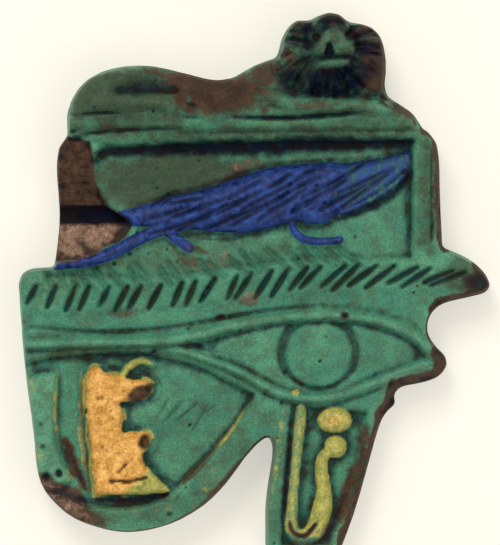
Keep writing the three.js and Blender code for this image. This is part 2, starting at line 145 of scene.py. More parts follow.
def closed_shape(*runs):
    """Runs of points that meet at corners, joined into one closed line."""
    pieces = [curve_through(run) if len(run) > 2 else np.array(run, float) for run in runs]
    line = np.vstack([piece[:-1] for piece in pieces])
    return np.vstack([line, line[:1]])


def near_line(line, reach, x=X, y=Y):
    """Distance to a line, up to reach, and the share of the way along it of the nearest place."""
    distance = np.full(x.shape, float(reach))
    share = np.zeros(x.shape)
    low, high = line[:, :2].min(0) - reach, line[:, :2].max(0) + reach
    close = np.flatnonzero((x > low[0]) & (x < high[0]) & (y > low[1]) & (y < high[1]))
    px, py = x[close], y[close]
    best = np.full(px.shape, float(reach) ** 2)
    along = np.zeros(px.shape)
    spans = np.diff(line[:, :2], axis=0)
    lengths = np.maximum(np.linalg.norm(spans, axis=1), 1e-9)
    starts = np.concatenate([[0], np.cumsum(lengths)])
    for (ax, ay), (sx, sy), length, start in zip(line[:-1, :2], spans, lengths, starts):
        t = np.clip(((px - ax) * sx + (py - ay) * sy) / length**2, 0, 1)
        square = (px - ax - t * sx) ** 2 + (py - ay - t * sy) ** 2
        nearer = square < best
        best[nearer] = square[nearer]
        along[nearer] = (start + t[nearer] * length) / starts[-1]
    distance[close] = np.sqrt(best)
    share[close] = along
    return distance, share


def depth_in(line, reach, x=X, y=Y):
    """How deep a place lies inside a closed line: positive inside, negative outside, up to reach."""
    inside = np.zeros(x.shape, bool)
    for (ax, ay), (bx, by) in zip(line[:-1], line[1:]):
        if ay != by:
            crosses = (ay > y) != (by > y)
            inside ^= crosses & (x < ax + (y - ay) * (bx - ax) / (by - ay))
    distance, _ = near_line(line, reach, x, y)
    return np.where(inside, distance, -distance)


def ramp(value, low, high):
    """0 below low, 1 above high, and a soft rise between."""
    t = np.clip((value - low) / (high - low), 0, 1)
    return t * t * (3 - 2 * t)


def half_round(distance, half_width):
    """A round-backed ridge: 1 on its line and 0 at its edge."""
    return np.sqrt(np.clip(1 - (distance / half_width) ** 2, 0, None))


def rolled(distance, half_width):
    """A ridge that runs out softly at its foot: 1 on its line and 0 at its edge."""
    return np.clip(1 - (distance / half_width) ** 2, 0, None) ** 1.5


def soft_max(a, b, soft):
    """The higher of two heights, with a fillet where they meet."""
    h = np.clip(0.5 + 0.5 * (a - b) / soft, 0, 1)
    return b + (a - b) * h + soft * h * (1 - h)


def cloud(size, seed, x=X, y=Y):
    """Soft random patches of about this size in millimetres, from -1 to 1."""
    lattice = np.random.default_rng(seed).uniform(-1, 1, (96, 96))
    u, v = (x / size) % 96, (y / size) % 96
    i, j = np.floor(u).astype(int), np.floor(v).astype(int)
    a, b = u - i, v - j
    a, b = a * a * (3 - 2 * a), b * b * (3 - 2 * b)
    i, j, i2, j2 = i % 96, j % 96, (i + 1) % 96, (j + 1) % 96
    low = lattice[i, j] * (1 - a) + lattice[i2, j] * a
    return low * (1 - b) + (lattice[i, j2] * (1 - a) + lattice[i2, j2] * a) * b


def softened(field, reach):
    """A field blurred over a reach in millimetres."""
    half = math.ceil(3 * reach / STEP)
    taps = np.exp(-0.5 * (np.arange(-half, half + 1) * STEP / reach) ** 2)
    taps /= taps.sum()
    table = field.reshape(len(grid_y), len(grid_x))
    for axis in (0, 1):
        table = np.apply_along_axis(lambda row: np.convolve(np.pad(row, len(taps) // 2, mode="edge"), taps, "valid"),
                                    axis, table)
    return table.ravel()


edge = depth_in(np.vstack([outline, outline[:1]]), 9)
print("grid:", len(grid_x), "by", len(grid_y), "heights; deepest place in the outline", round(edge.max(), 1), "mm")

# %% [markdown]
# ## The brow
# The brow is a low roof: its crest is the line where the two rows of hatching meet, and below it a shallow band
# with one drawn groove leads to the lids. It could be a lofted surface with a creased edge. A bell-shaped rise over
# the distance from the crest is softer, as a crest is that was pressed in a mould and then handled.

# %% Model the plaque and brow
FACE = 7.6
BROW_CREST = curve_through([(-34, -0.3), (-20, -0.5), (-10, 0), (0, 1.5), (10, 2.3), (20, 2.4), (33, 1.2)])
BROW_FOOT = curve_through([(-34, -3.9), (-20, -3.7), (-10, -2.9), (0, -1.8), (10, -1), (20, -0.9), (33, -0.7)])
COSMETIC_GROOVE = curve_through([(-31, -6), (-21, -6.6), (-12, -6), (-4.8, -4.8), (3, -3.6), (12, -2.8)])

crest_y = np.interp(X, *BROW_CREST.T)
foot_y = np.interp(X, *BROW_FOOT.T)
above_crest = Y - crest_y
Z = FACE + 0.4 * np.exp(-(above_crest / 1.5) ** 2) - 0.3 * ramp(foot_y - Y, -0.3, 0.7)
groove, along = near_line(COSMETIC_GROOVE, 1)
Z -= 0.4 * ramp(0.45 - groove, 0, 0.45) * ramp(1 - along, 0, 0.3)
print("brow crest", round(Z.max(), 2), "mm over a face of", FACE, "mm")

# %% [markdown]
# ## The eye and its lids
# The lids are rolled ridges laid round a sunk eye. The eyeball swells towards the iris, and the iris is only a
# ring pressed in with a tube, lost under the upper lid. Each lid could be a curve with a bevel, but it would have
# to be joined to the ground afterwards. As a ridge in the same grid it grows out of it with a fillet.

# %% Model the eye and lids
UPPER_LID = curve_through([(-32.6, -8.5), (-20, -8.2), (-11, -7.8), (-2.3, -5.8), (4.4, -4.7), (11, -4.4),
                           (16.3, -5), (20.4, -6.3), (23, -8), (25, -10.4)])
LOWER_LID = curve_through([(-13, -8.5), (-7.6, -10), (-2.3, -12), (1.2, -14), (4, -15.3), (7.5, -15.9),
                           (11, -15.6), (15, -14.4), (21, -12), (25, -10.8)])
EYE = closed_shape(
    [(23.8, -10.4), (19, -7.3), (15, -5.8), (10, -5.3), (5, -5.5), (0, -6.2), (-4, -7.3), (-9, -8.7)],
    [(-9, -8.7), (-4, -10.2), (-1, -11.6), (2, -13.5), (5, -14.9), (9, -15.3), (13, -14.4), (18, -12.3),
     (23.8, -10.4)])
IRIS_X, IRIS_Y = 8.85, -9.65

eye_depth = depth_in(EYE, 6)
ball = 6.75 + 1.05 * half_round(np.hypot((X - IRIS_X) / 15, (Y - IRIS_Y + 0.4) / 6.6), 1)
iris_turn = np.arctan2(Y - IRIS_Y, X - IRIS_X)
iris_radius = np.hypot(X - IRIS_X, Y - IRIS_Y) - 5.15 + 0.3 * ramp(-np.sin(iris_turn), 0.3, 1)
iris_ring = ramp(0.92 - 0.45 * ramp(-np.sin(iris_turn), 0.3, 1) - np.abs(iris_radius), 0, 0.5)
ball -= 0.5 * iris_ring
in_eye = ramp(eye_depth, -0.2, 0.5)
Z = Z * (1 - in_eye) + ball * in_eye
upper_lid, along = near_line(UPPER_LID, 3)
over_upper = Y > np.interp(X, *UPPER_LID.T)
upper_width = np.where(over_upper, 1.25, 1.05 + 0.15 * ramp(along, 0.1, 0.6))
lid_band = 1.1 * rolled(upper_lid, upper_width) * ramp(1.02 - along, 0, 0.06)
Z = soft_max(Z, np.where(upper_lid < upper_width, 7.2 + lid_band, 0), 0.15)
lower_lid, along = near_line(LOWER_LID, 3)
over_lower = Y > np.interp(X, *LOWER_LID.T)
lower_width = np.where(over_lower, 0.55 + 0.5 * ramp(X, -4, 6), 0.6 + 0.5 * ramp(along, 0, 0.2))
lid_band = 1.1 * rolled(lower_lid, lower_width) * ramp(along, 0, 0.12)
Z = soft_max(Z, np.where(lower_lid < lower_width, 7.2 + lid_band, 0), 0.15)
under_upper = ramp(upper_lid, 0, 0.7) * ramp(1.7 - upper_lid, 0, 0.9) * ~over_upper
under_lower = ramp(lower_lid, 0, 0.7) * ramp(1.6 - lower_lid, 0, 0.8) * ~over_lower
under_lids = np.maximum(under_upper, under_lower * (1 - 0.4 * ramp(X, 0, 12)))
Z -= 0.15 * under_lids * ramp(np.minimum(upper_lid, lower_lid), 0.6, 1)
print("eye: floor", round(Z[eye_depth > 0.5].min(), 2), "mm, lids", round(Z[lower_lid < 0.2].max(), 2), "mm")

# %% [markdown]
# ## The cheek
# The cheek is a sunk field inside a plain rim, with a raised strip and its curled foot at the left edge. A sunk
# field could be a Boolean cut, but pressed paste has no sharp corner at the foot of a wall. Mixing two heights by
# the depth inside a drawn shape gives the soft step.

# %% Model the cheek
CHEEK = closed_shape(
    [(0.2, -15.2), (-3, -13.6), (-8, -11.1), (-14, -9.7), (-20, -9.5), (-28, -10), (-35, -11.6)],
    [(-35, -11.6), (-35, -27)],
    [(-35, -27), (-28, -29.4), (-23, -30.9), (-17, -31.2), (-12.5, -29.8), (-9, -27)],
    [(-9, -27), (-5.8, -23.4), (-2.6, -19.4), (0.2, -15.2)])
RIM_GROOVE = curve_through([(-0.4, -15.9), (-2.8, -19.6), (-6, -23.5), (-9, -26.6), (-12, -29)])
STRIP = closed_shape([(-32.4, -12.9), (-31.8, -18), (-31, -23.4)],
                     [(-31, -23.4), (-30.6, -26.6), (-29.2, -28.6), (-27, -28.4), (-25.2, -27.2)],
                     [(-25.2, -27.2), (-26.4, -24.6), (-27.5, -20), (-27.2, -12)], [(-27.2, -12), (-32.4, -12.9)])

in_cheek = ramp(depth_in(CHEEK, 6), -0.2, 0.5)
cheek_floor = 6.25 + 0.15 * cloud(6, 3)
Z = Z * (1 - in_cheek) + cheek_floor * in_cheek
rim_groove, along = near_line(RIM_GROOVE, 2)
Z -= 0.5 * ramp(0.7 - rim_groove, 0, 0.7) * ramp(1 - along, 0, 0.4)
strip_depth = depth_in(STRIP, 4)
Z = np.maximum(Z, cheek_floor + 1.05 * half_round(np.clip(0.9 - strip_depth, 0, None), 0.95) - 0.1)
for x, y, radius in ((-28.9, -26.7, 0.75), (-27.1, -26.3, 0.6), (-30.2, -25.4, 0.4)):
    Z -= 0.9 * ramp(radius * 1.3 - np.hypot(X - x, Y - y), 0, radius)
print("cheek floor", round(float(np.median(Z[in_cheek > 0.99])), 2), "mm")

# %% [markdown]
# ## The seated figure
# What stands in the cheek was laid on as a pat of paste, so it is a low flat-topped form with a round edge, worn
# and cut by a few strokes, with a thin rolled horn above it. It stays a plain figure without features. Its top is
# uneven by random patches at two sizes, because a smooth plate would look moulded in plastic.

# %% Model the figure
FIGURE = closed_shape(
    [(-23.3, -12.2), (-23.5, -16), (-22.8, -23), (-22.2, -29.3)], [(-22.2, -29.3), (-16, -29.3), (-11.4, -28.9)],
    [(-11.4, -28.9), (-14.4, -25.8), (-15.4, -24), (-14.3, -22), (-14.6, -20.6), (-16, -20.4), (-18.2, -20.6)],
    [(-18.2, -20.6), (-18.2, -18.6), (-18.5, -16.6)],
    [(-18.5, -16.6), (-15.4, -16), (-14, -14.9), (-14.6, -13.4), (-17, -13.1), (-18.8, -12.7)],
    [(-18.8, -12.7), (-20.4, -12.3), (-21.8, -11.4), (-23.3, -12.2)])
HORN = [(-18.4, -12.9), (-17.4, -11.5), (-15.8, -10.7), (-14.2, -11.1)]


def round_pits(count, seed, low, high, sizes):
    """Small round pits scattered in a plan box, from 0 to 1."""
    chance = np.random.default_rng(seed)
    field = np.zeros(X.shape)
    for x, y, size in zip(*chance.uniform([*low, sizes[0]], [*high, sizes[1]], (count, 3)).T):
        field = np.maximum(field, ramp(1.3 * size - np.hypot(X - x, Y - y), 0, size))
    return field


figure_depth = depth_in(FIGURE, 5) + 0.12 * cloud(0.8, 6)
figure_top = 7.7 + 0.25 * cloud(2.4, 5) + 0.15 * cloud(0.7, 7) + 0.2 * half_round(np.hypot(X + 20.6, (Y + 17) / 2), 3)
figure_edge = half_round(np.clip(0.8 - figure_depth, 0, None), 0.8)
Z = np.where(figure_depth > 0, np.maximum(Z, 6.2 + (figure_top - 6.2) * figure_edge), Z)
figure_lines = [
    ([(-19.8, -27.4), (-17.4, -27.4), (-15, -26.9)], 0.45, 0.9), ([(-18.9, -26.1), (-17, -24.3)], 0.4, 0.7),
    ([(-20.4, -25.2), (-20.5, -23.2)], 0.3, 0.35), ([(-22.3, -15.6), (-20, -15.9), (-18.3, -15.3)], 0.3, 0.3),
    ([(-22, -20.3), (-20.5, -20.6), (-18.6, -20)], 0.3, 0.35), ([(-22.6, -17.2), (-21, -18.1)], 0.3, 0.25)]
for points, half_width, depth in figure_lines:
    line = near_line(curve_through(points), 1)[0] + 0.15 * cloud(0.6, 10)
    Z -= depth * ramp(half_width - line, 0, half_width) * ramp(figure_depth, 0, 0.4)
Z -= 1.3 * ramp(1.15 - np.hypot((X + 15.2) / 0.8, (Y + 22) / 1.2) - 0.3 * cloud(0.7, 12), 0, 0.6)
nicks = round_pits(34, 9, (-23.4, -29), (-13, -12), (0.14, 0.36)) * ramp(figure_depth, -0.1, 0.2)
Z -= 0.45 * nicks
horn, _ = near_line(curve_through(HORN), 2)
Z = np.maximum(Z, np.where(horn < 0.55, 6.2 + 1.15 * half_round(horn, 0.55), 0))
print("figure top", round(Z[figure_depth > 1].max(), 2), "mm")

# %% [markdown]
# ## The drop and its cobra
# The drop is a sunk strip between two rims. A reared cobra lies in it, a roll of paste that swells at the hood, with
# two round buttons beside its head. One line with a width at each point makes the whole snake.

# %% Model the drop
DROP = closed_shape([(5.1, -16.8), (4.7, -21), (4.1, -27), (3.5, -36.4)], [(3.5, -36.4), (10.6, -36.4)],
                    [(10.6, -36.4), (12.6, -30.5), (14.6, -23), (15.8, -17.6)],
                    [(15.8, -17.6), (11, -17.3), (5.1, -16.8)])
COBRA = curve_through([(6.4, -17.4, 0.8), (6.1, -21, 0.85), (5.6, -26, 0.8), (5.2, -31, 0.75), (5.1, -33.8, 0.8),
                       (6.4, -35.2, 0.9), (8.2, -34.4, 1.2), (9.2, -32, 1.4), (9.6, -29, 1.4), (9.3, -26, 1.05),
                       (9.5, -24.2, 0.9), (10.6, -23, 0.8)])
COBRA_SPLIT = [(4.8, -32.9), (5.4, -34.5), (7, -34.9), (8.6, -33.2)]
COBRA_BUTTONS = [(11.2, -22.6, 1.55, 1.6), (11.1, -18.9, 2.4, 1.85)]

in_drop = ramp(depth_in(DROP, 4), -0.2, 0.5)
drop_floor = 6.4 + 0.12 * cloud(4, 8)
Z = Z * (1 - in_drop) + drop_floor * in_drop
cobra, along = near_line(COBRA, 3)
cobra_width = np.interp(along, np.linspace(0, 1, len(COBRA)), COBRA[:, 2])
Z = np.maximum(Z, np.where(cobra < cobra_width, drop_floor - 0.1 + 1.35 * half_round(cobra, cobra_width), 0))
cobra_split, _ = near_line(curve_through(COBRA_SPLIT), 1)
Z -= 0.7 * ramp(0.42 - cobra_split, 0, 0.4)
for x, y, rx, ry in COBRA_BUTTONS:
    button = np.hypot((X - x) / rx, (Y - y) / ry)
    Z = np.maximum(Z, np.where(button < 1, drop_floor + 1.6 * half_round(button, 1) ** 0.8, 0))
print("drop floor", round(float(np.median(drop_floor[in_drop > 0.99])), 2), "mm, cobra",
      round(Z[cobra < 0.2].max(), 2), "mm")

# %% [markdown]
# ## The sunk panel
# The panel is deepest under its top frame and rises to meet the brow, which throws the shade seen under the lion.
# Its floor is therefore a slope and not a level cut, and the frame is a rolled ridge along two of its sides.

# %% Model the panel
PANEL = closed_shape([(-29.5, 0.6), (-12, 0.7), (0, 2.3), (10, 3.1), (22, 3.3)], [(22, 3.3), (22, 20.2)],
                     [(22, 20.2), (5, 20), (-15, 19.2), (-20.6, 18.9), (-22.6, 17.4)],
                     [(-22.6, 17.4), (-22.8, 10), (-29.5, 0.6)])

panel_floor = 7.3 - 1.3 * ramp(Y, 1, 19)
in_panel = ramp(depth_in(PANEL, 5), -0.15, 0.55)
top_frame, _ = near_line(curve_through([(-22.5, 20.2), (0, 20.6), (23, 20.95)]), 2)
right_frame, _ = near_line(np.array([(23.2, 20.6), (23.2, 13), (23.3, 6)]), 2)
above_brow = ramp(Y, 3.4, 5.8) * ramp(X, 21.6, 22.2) + ramp(Y, 2.4, 4) * ramp(-21 - X, 0, 1)
Z += 0.6 * np.clip(above_brow + ramp(Y, 19.8, 20.3), 0, 1) * (Y > 2)
Z = Z * (1 - in_panel) + panel_floor * in_panel
Z = soft_max(Z, np.where(top_frame < 1, 8.05 + 0.55 * rolled(top_frame, 1), 0), 0.2)
Z = soft_max(Z, np.where(right_frame < 1.3, 8.05 + 0.55 * rolled(right_frame, 1.3), 0), 0.2)
Z -= 0.5 * ramp(0.4 - np.abs(X - 24.55), 0, 0.4) * ramp(Y, 5, 6) * ramp(21 - Y, 0, 1)
print("panel floor", round(panel_floor.min(), 2), "to", round(panel_floor.max(), 2), "mm")

# %% [markdown]
# ## The crocodile
# The crocodile is one tapering roll of paste. It could be a tube along a curve, but its line can also carry a half
# width and a height at each point, so that one distance gives the whole animal, tail and snout included. Legs,
# shoulder and thigh are smaller rolls and pats laid on, and two drawn lines make the mouth and the brow.

# %% Model the crocodile
CROCODILE = curve_through([
    (-19, 9, 1, 0.7), (-17.8, 9.1, 1.6, 1.1), (-15, 9.4, 2.3, 1.6), (-11, 9.9, 3, 1.9), (-6, 10.2, 3.8, 2.1),
    (-1, 11, 4.1, 2.2), (4, 12.3, 4, 2.2), (9, 12.8, 4, 2.1), (13.5, 13.5, 3.4, 1.9), (18, 15.1, 2.6, 1.5),
    (21.6, 17.2, 1.5, 1)])
LIMBS = [([(-12.4, 7.7), (-16, 6.2), (-19.6, 4.3), (-23, 3.2), (-27.4, 2.8)], 0.95, 1),
         ([(4.9, 9), (5.6, 7.2), (7, 6.1), (9.4, 5.8), (11.8, 6)], 0.62, 0.7),
         ([(-12.2, 7.2), (-10.6, 6), (-9, 4.9)], 0.75, 0.7)]

spine, along = near_line(CROCODILE, 6)
places = np.linspace(0, 1, len(CROCODILE))
body_width, body_height = [np.interp(along, places, CROCODILE[:, k]) for k in (2, 3)]
in_crocodile = spine < body_width
Z = np.where(in_crocodile, np.maximum(Z, panel_floor - 0.1 + body_height * half_round(spine, body_width)), Z)
shoulder = np.hypot((X - 8.4) / 2.6, (Y - 9.6) / 1.5)
thigh = np.hypot((X + 10) / 2.3, (Y - 8.4 - 0.3 * (X + 10)) / 1.3)
for joint, height in ((shoulder, 1.6), (thigh, 1.6)):
    Z = np.maximum(Z, np.where(joint < 1, panel_floor + height * half_round(joint, 1), 0))
    Z -= 0.3 * ramp(0.2 - np.abs(joint - 1.15), 0, 0.2) * in_crocodile
leg_mask = np.zeros(X.shape)
for points, half_width, height in LIMBS:
    leg, _ = near_line(curve_through(points), 2)
    Z = np.maximum(Z, np.where(leg < half_width, panel_floor - 0.1 + height * half_round(leg, half_width), 0))
    leg_mask = np.maximum(leg_mask, ramp(half_width * 1.1 - leg, 0, 0.3))
for points in ([(11, 9.8), (14.4, 11.2), (18, 13.2), (20.8, 15.6)], [(12.4, 16.4), (16, 16.9), (20.6, 18.1)]):
    mouth, _ = near_line(curve_through(points), 1)
    Z -= 0.6 * ramp(0.45 - mouth, 0, 0.45)
print("crocodile top", round(Z[in_crocodile].max(), 2), "mm")

# %% [markdown]
# ## The lion's body
# The lion is a long pillow: its height grows with the distance from the outline, as on a stuffed cushion, so the
# back rolls over into the edge all the way round. It could be sculpted, but the distance is already known for the
# whole grid. Haunch, legs and paws are rolls on that pillow.

# %% Model the lion's body
LION_ROLLS = [
    ([(-25.6, 22.2), (-18, 22.3), (-9.4, 22.1)], 0.95, 8.3, 1.3),
    ([(-18.6, 24.7), (-15, 25), (-11.2, 24.4)], 1.2, 9, 1.5),
    ([(1.8, 26), (6, 24.7), (12, 24.7), (18, 24)], 1.15, 9.2, 1.6),
    ([(-2, 21.9), (8, 21.9), (17, 22.3)], 0.75, 8.3, 1), ([(15.6, 22.9), (18.6, 22.9), (20.8, 22.5)], 1.3, 8.3, 1.7)]

lion_zone = ramp(Y - np.interp(X, [-34, 0, 34], [20.5, 20.9, 21.3]), -0.1, 0.5)
roll_over = np.clip(edge, 0, 5.2) / 5.2
pillow = 4.4 + 5.5 * half_round(1 - roll_over, 1) + 0.25 * cloud(5, 11)
front = 8 + 1.9 * half_round(np.clip(1 - (Y - 20.6) / 3.4, 0, 1), 1)
lion = np.minimum(pillow, front)
haunch = np.hypot((X + 20) / 5.6, (Y - 25.6) / 4.1)
lion = soft_max(lion, np.where(haunch < 1, np.minimum(pillow + 0.7, 8 + 2.5 * half_round(haunch, 1)), 0), 0.5)
hollow, _ = near_line(curve_through([(-18.4, 26.6), (-15, 27.2), (-11.4, 26.7)]), 4)
lion -= 1.4 * ramp(2.2 - hollow, 0, 2.2) * ramp(Y - 25.7, 0, 0.9)
for points, half_width, base, height in LION_ROLLS:
    roll, _ = near_line(curve_through(points), 3)
    lion = soft_max(lion, np.where(roll < half_width, base + height * half_round(roll, half_width), 0), 0.3)
print("lion's back", round(float(np.median(lion[(Y > 24) & (Y < 26) & (X < 0) & (edge > 3)])), 2), "mm")

# %% [markdown]
# ## The mane and the face
# The mane is a second, higher pillow with tufts and ears standing out of it, and the face is a wedge of muzzle over
# a broad jaw, with a sunk nose, two eye pits and a mouth line. Grooves that fade at both ends part the forms, as a
# point does that is drawn through wet paste.

# %% Model the mane and the face
MANE = closed_shape(
    [(3.3, 32.5), (2.6, 29.5), (5, 26.4), (10.6, 25.4), (15.4, 25.9), (18.6, 26.6)],
    [(18.6, 26.6), (18.4, 28.2), (18.7, 30.2), (18.1, 34), (16.4, 36), (13, 36.6)],
    [(13, 36.6), (12, 37.7), (10.7, 38.1), (9.2, 37.6), (7.4, 36.7)],
    [(7.4, 36.7), (6.2, 37.1), (4.3, 35.7), (3.3, 33.7), (3.3, 32.5)])
MUZZLE = closed_shape([(10.9, 35.5), (9.9, 34.5), (9, 33.4), (8.2, 32.4), (8.6, 31.6), (10.6, 31.5), (13.2, 31.6),
                       (13.8, 32.4), (12.9, 33.4), (11.9, 34.5), (10.9, 35.5)])
LION_LINES = [
    ([(-24.2, 23.4), (-21, 23.6), (-18.4, 23.5)], 0.4, 0.9), ([(-23.4, 20.8), (-17.6, 21.3), (-9, 21.5)], 0.45, 0.9),
    ([(-10.4, 23.1), (-7.4, 22.9)], 0.4, 0.7), ([(-9.6, 25), (-7.8, 24.4)], 0.55, 0.7),
    ([(-4, 23), (4, 22.9), (10, 23.2), (15.4, 23.8)], 0.5, 1.1), ([(17.2, 23.4), (20.4, 23.1)], 0.25, 0.4),
    ([(17.4, 22.7), (20.6, 22.4)], 0.25, 0.4), ([(8.6, 31.3), (10.6, 31.2), (13.4, 31.5)], 0.35, 0.7),
    ([(8.3, 37.2), (7.7, 35.6), (7.1, 33.8), (7.2, 32.2)], 0.6, 1.3),
    ([(13.2, 36.6), (13.3, 35.2), (14.2, 33.6), (14.4, 32)], 0.6, 1.2),
    ([(9.2, 36), (10.8, 36.2), (12.4, 35.9)], 0.4, 0.7), ([(4.4, 34.2), (5.6, 33.6), (6.6, 33.8)], 0.45, 0.8)]

mane_depth = depth_in(MANE, 5)
mane = np.minimum(8.6 + 2.5 * half_round(np.clip(1 - mane_depth / 3, 0, None), 1),
                  4.4 + 6.7 * half_round(1 - np.clip(edge, 0, 4) / 4, 1))
lion = np.where(mane_depth > 0, np.maximum(lion, mane), lion)
face_dip = np.hypot((X - 10.6) / 4.2, (Y - 32.4) / 3.6)
lion -= 0.7 * ramp(1.15 - face_dip, 0, 0.4)
muzzle_depth = depth_in(MUZZLE, 3)
muzzle_top = 10.1 + 1.9 * half_round(np.clip(1 - (muzzle_depth + 0.3) / 1.5, 0, None), 1)
muzzle_top += 0.3 * half_round(np.minimum(np.hypot(X - 9.2, Y - 32.4), np.hypot(X - 12.1, Y - 32.4)), 1.1)
lion = np.where(muzzle_depth > -0.3, np.maximum(lion, muzzle_top), lion)
jaw = np.hypot((X - 10.9) / 2.6, (Y - 30.5 - 0.13 * (X - 10.9)) / 0.9)
lion = np.maximum(lion, np.where(jaw < 1, 10 + 1.3 * half_round(jaw, 1), 0))
for x, y, rx, ry, base, height in ((6.2, 35.5, 1.7, 1.9, 8.8, 1.9), (15.9, 35, 2, 1.8, 8.8, 1.9),
                                   (10.9, 36.8, 2.3, 1.2, 8.6, 1.9), (5.4, 32, 1.9, 1.5, 9.4, 1.2)):
    tuft = np.hypot((X - x) / rx, (Y - y) / ry)
    lion = soft_max(lion, np.where(tuft < 1, np.minimum(pillow + 1.2, base + height * half_round(tuft, 1)), 0), 0.3)
for points, half_width, depth in LION_LINES:
    line, along = near_line(curve_through(points), 1)
    lion -= depth * ramp(half_width - line, 0, half_width) * np.sqrt(np.sin(math.pi * np.clip(along, 0, 1)))
nose = np.maximum(np.abs(X - 10.3) / (0.25 + 0.32 * (33.2 - Y)), np.abs(Y - 32.4) / 0.85)
lion -= 0.7 * ramp(1.25 - nose, 0, 0.5)
for x, y, radius in ((8.4, 34, 0.6), (13, 34.2, 0.55)):
    lion -= 0.8 * ramp(radius * 1.4 - np.hypot(X - x, Y - y), 0, radius)
Z = Z * (1 - lion_zone) + lion * lion_zone
print("mane", round(Z[mane_depth > 0].max(), 2), "mm, muzzle", round(Z[muzzle_depth > 0].max(), 2), "mm")

# %% [markdown]
# ## The broken end and the worn edges
# The left end of the panel has broken away and lies open along the suspension hole, down to the brown core. A
# break is not drawn but worn: its floor follows a few heights read across it, roughened with random patches. The
# lower edge of the eye's outer corner, the right edge of the drop and the brow's tip are chipped to slopes.

# %% Break and wear
BREAK = closed_shape([(-35, 2.5), (-27, 2.7), (-22.2, 3.7)],
                     [(-22.2, 3.7), (-18.6, 6), (-17.2, 8.3), (-19.6, 10.2), (-21.5, 13), (-22.4, 18.7)],
                     [(-22.4, 18.7), (-24, 20.1), (-35, 20.3)], [(-35, 20.3), (-35, 2.5)])
BREAK_HEIGHTS = [(2, 6.9), (5, 6.3), (8.3, 5), (9, 4), (10.2, 4), (10.9, 5.1), (14, 6), (18, 7), (20.6, 7.9)]
WORN_EDGES = [([(19, -17.2), (20.4, -14.6), (23.5, -14), (25.8, -13.1), (27, -10.6)], 2.2, 2.6),
              ([(12, -37.6), (14, -31.8), (15.9, -25.2), (17.2, -20.6), (18.8, -17.6)], 1.7, 1.8),
              ([(26, -3), (29, -2.2), (31, -1.8), (33, -0.6), (32, 1.8)], 1.4, 1.6),
              ([(26, 6), (25.9, 12), (25.7, 18), (24.6, 21)], 1.1, 1.2)]

roughness = 0.45 * cloud(1.7, 21) + 0.3 * cloud(0.7, 22)
break_depth = depth_in(BREAK, 4) + 0.35 * cloud(1.3, 23)
in_break = ramp(break_depth, -0.1, 0.3)
break_floor = np.interp(Y, *np.array(BREAK_HEIGHTS).T) + roughness
break_floor -= 0.5 * ramp(-24.5 - X, 0, 3)
Z = np.where(in_break > 0, Z * (1 - in_break) + np.minimum(Z, break_floor) * in_break, Z)
worn = np.zeros(X.shape)
for points, reach, drop in WORN_EDGES:
    nearness, along = near_line(curve_through(points), reach + 1)
    ragged = edge + 0.35 * cloud(1.1, 24)
    slope = ramp(reach - ragged, 0, reach) * ramp(reach + 1 - nearness, 0, 0.8)
    Z -= slope * (drop + 0.5 * roughness)
    worn = np.maximum(worn, ramp(slope, 0.02, 0.3))

plaque = (1 - lion_zone) * (1 - in_break)
Z -= plaque * (1 - half_round(np.clip(1 - edge / 0.9, 0, None), 1)) * 0.8
Z = softened(Z, 0.18)
Z += 0.1 * cloud(8, 31) + 0.08 * cloud(2.6, 32) + 0.045 * cloud(0.8, 33)
for x, y, radius in ((12.5, -4.4, 0.6), (-4.7, -4.7, 0.6), (-21, -6.7, 0.5), (-7.7, -8.7, 0.6), (-14, -9.5, 0.5)):
    Z -= 0.4 * ramp(radius - np.hypot(X - x, (Y - y) * 1.3) - 0.3 * cloud(0.6, 36), 0, radius)
pits = round_pits(150, 34, (-32, -36), (32, 36), (0.14, 0.34)) * ramp(cloud(6, 35), -0.3, 0.4)
Z -= 0.3 * pits
Z = np.clip(Z, 2, 12.5)
print("break floor", round(Z[in_break > 0.9].min(), 2), "mm; worn share of the face",
      round(float(np.mean(worn[edge > 0])), 3))

# %% [markdown]
# ## From heights to blocks
# The grid of heights becomes the top of one block, and an uneven grid the underside of another, because the back
# of a pressed piece lay on a board and is not quite flat. A displaced plane would be an open sheet. A block is
# closed, so it can be cut against others.

# %% The relief block and the back block
def mesh_object(name, points, faces):
    """A mesh object from points in millimetres."""
    data = bpy.data.meshes.new(name)
    data.from_pydata((np.asarray(points) * MM).tolist(), [], faces)
    obj = bpy.data.objects.new(name, data)
    bpy.context.scene.collection.objects.link(obj)
    return obj


def slab(name, xs, ys, heights, flat):
    """A closed block between a grid of heights and a flat side above or below it."""
    columns, rows = len(xs), len(ys)
    ids = np.arange(columns * rows).reshape(rows, columns)
    quads = np.stack([ids[:-1, :-1], ids[:-1, 1:], ids[1:, 1:], ids[1:, :-1]], -1).reshape(-1, 4)
    rim = np.concatenate([ids[0, :-1], ids[:-1, -1], ids[-1, :0:-1], ids[:0:-1, 0]])
    x, y = [a.ravel() for a in np.meshgrid(xs, ys)]
    far = np.arange(len(rim)) + len(x)
    skirt = np.column_stack([rim, far, np.roll(far, -1), np.roll(rim, -1)])
    faces = quads.tolist() + skirt.tolist() + [far[::-1].tolist()]
    points = np.vstack([np.column_stack([x, y, heights]),
                        np.column_stack([x[rim], y[rim], np.full(len(rim), float(flat))])])
    return mesh_object(name, points, faces if flat < np.min(heights) else [face[::-1] for face in faces])


back_x, back_y = np.arange(-34, 34.1, 0.8), np.arange(-39, 39.1, 0.8)
back_places = [a.ravel() for a in np.meshgrid(back_x, back_y)]
back_heights = 0.1 + 0.06 * cloud(9, 43, *back_places) + 0.04 * cloud(2.5, 44, *back_places)
back_heights -= back_heights.min()
block = slab("relief", grid_x, grid_y, Z, -1)
back = slab("back", back_x, back_y, back_heights, 20)
print("relief block:", len(block.data.polygons), "faces; back uneven by", round(back_heights.max(), 2), "mm")

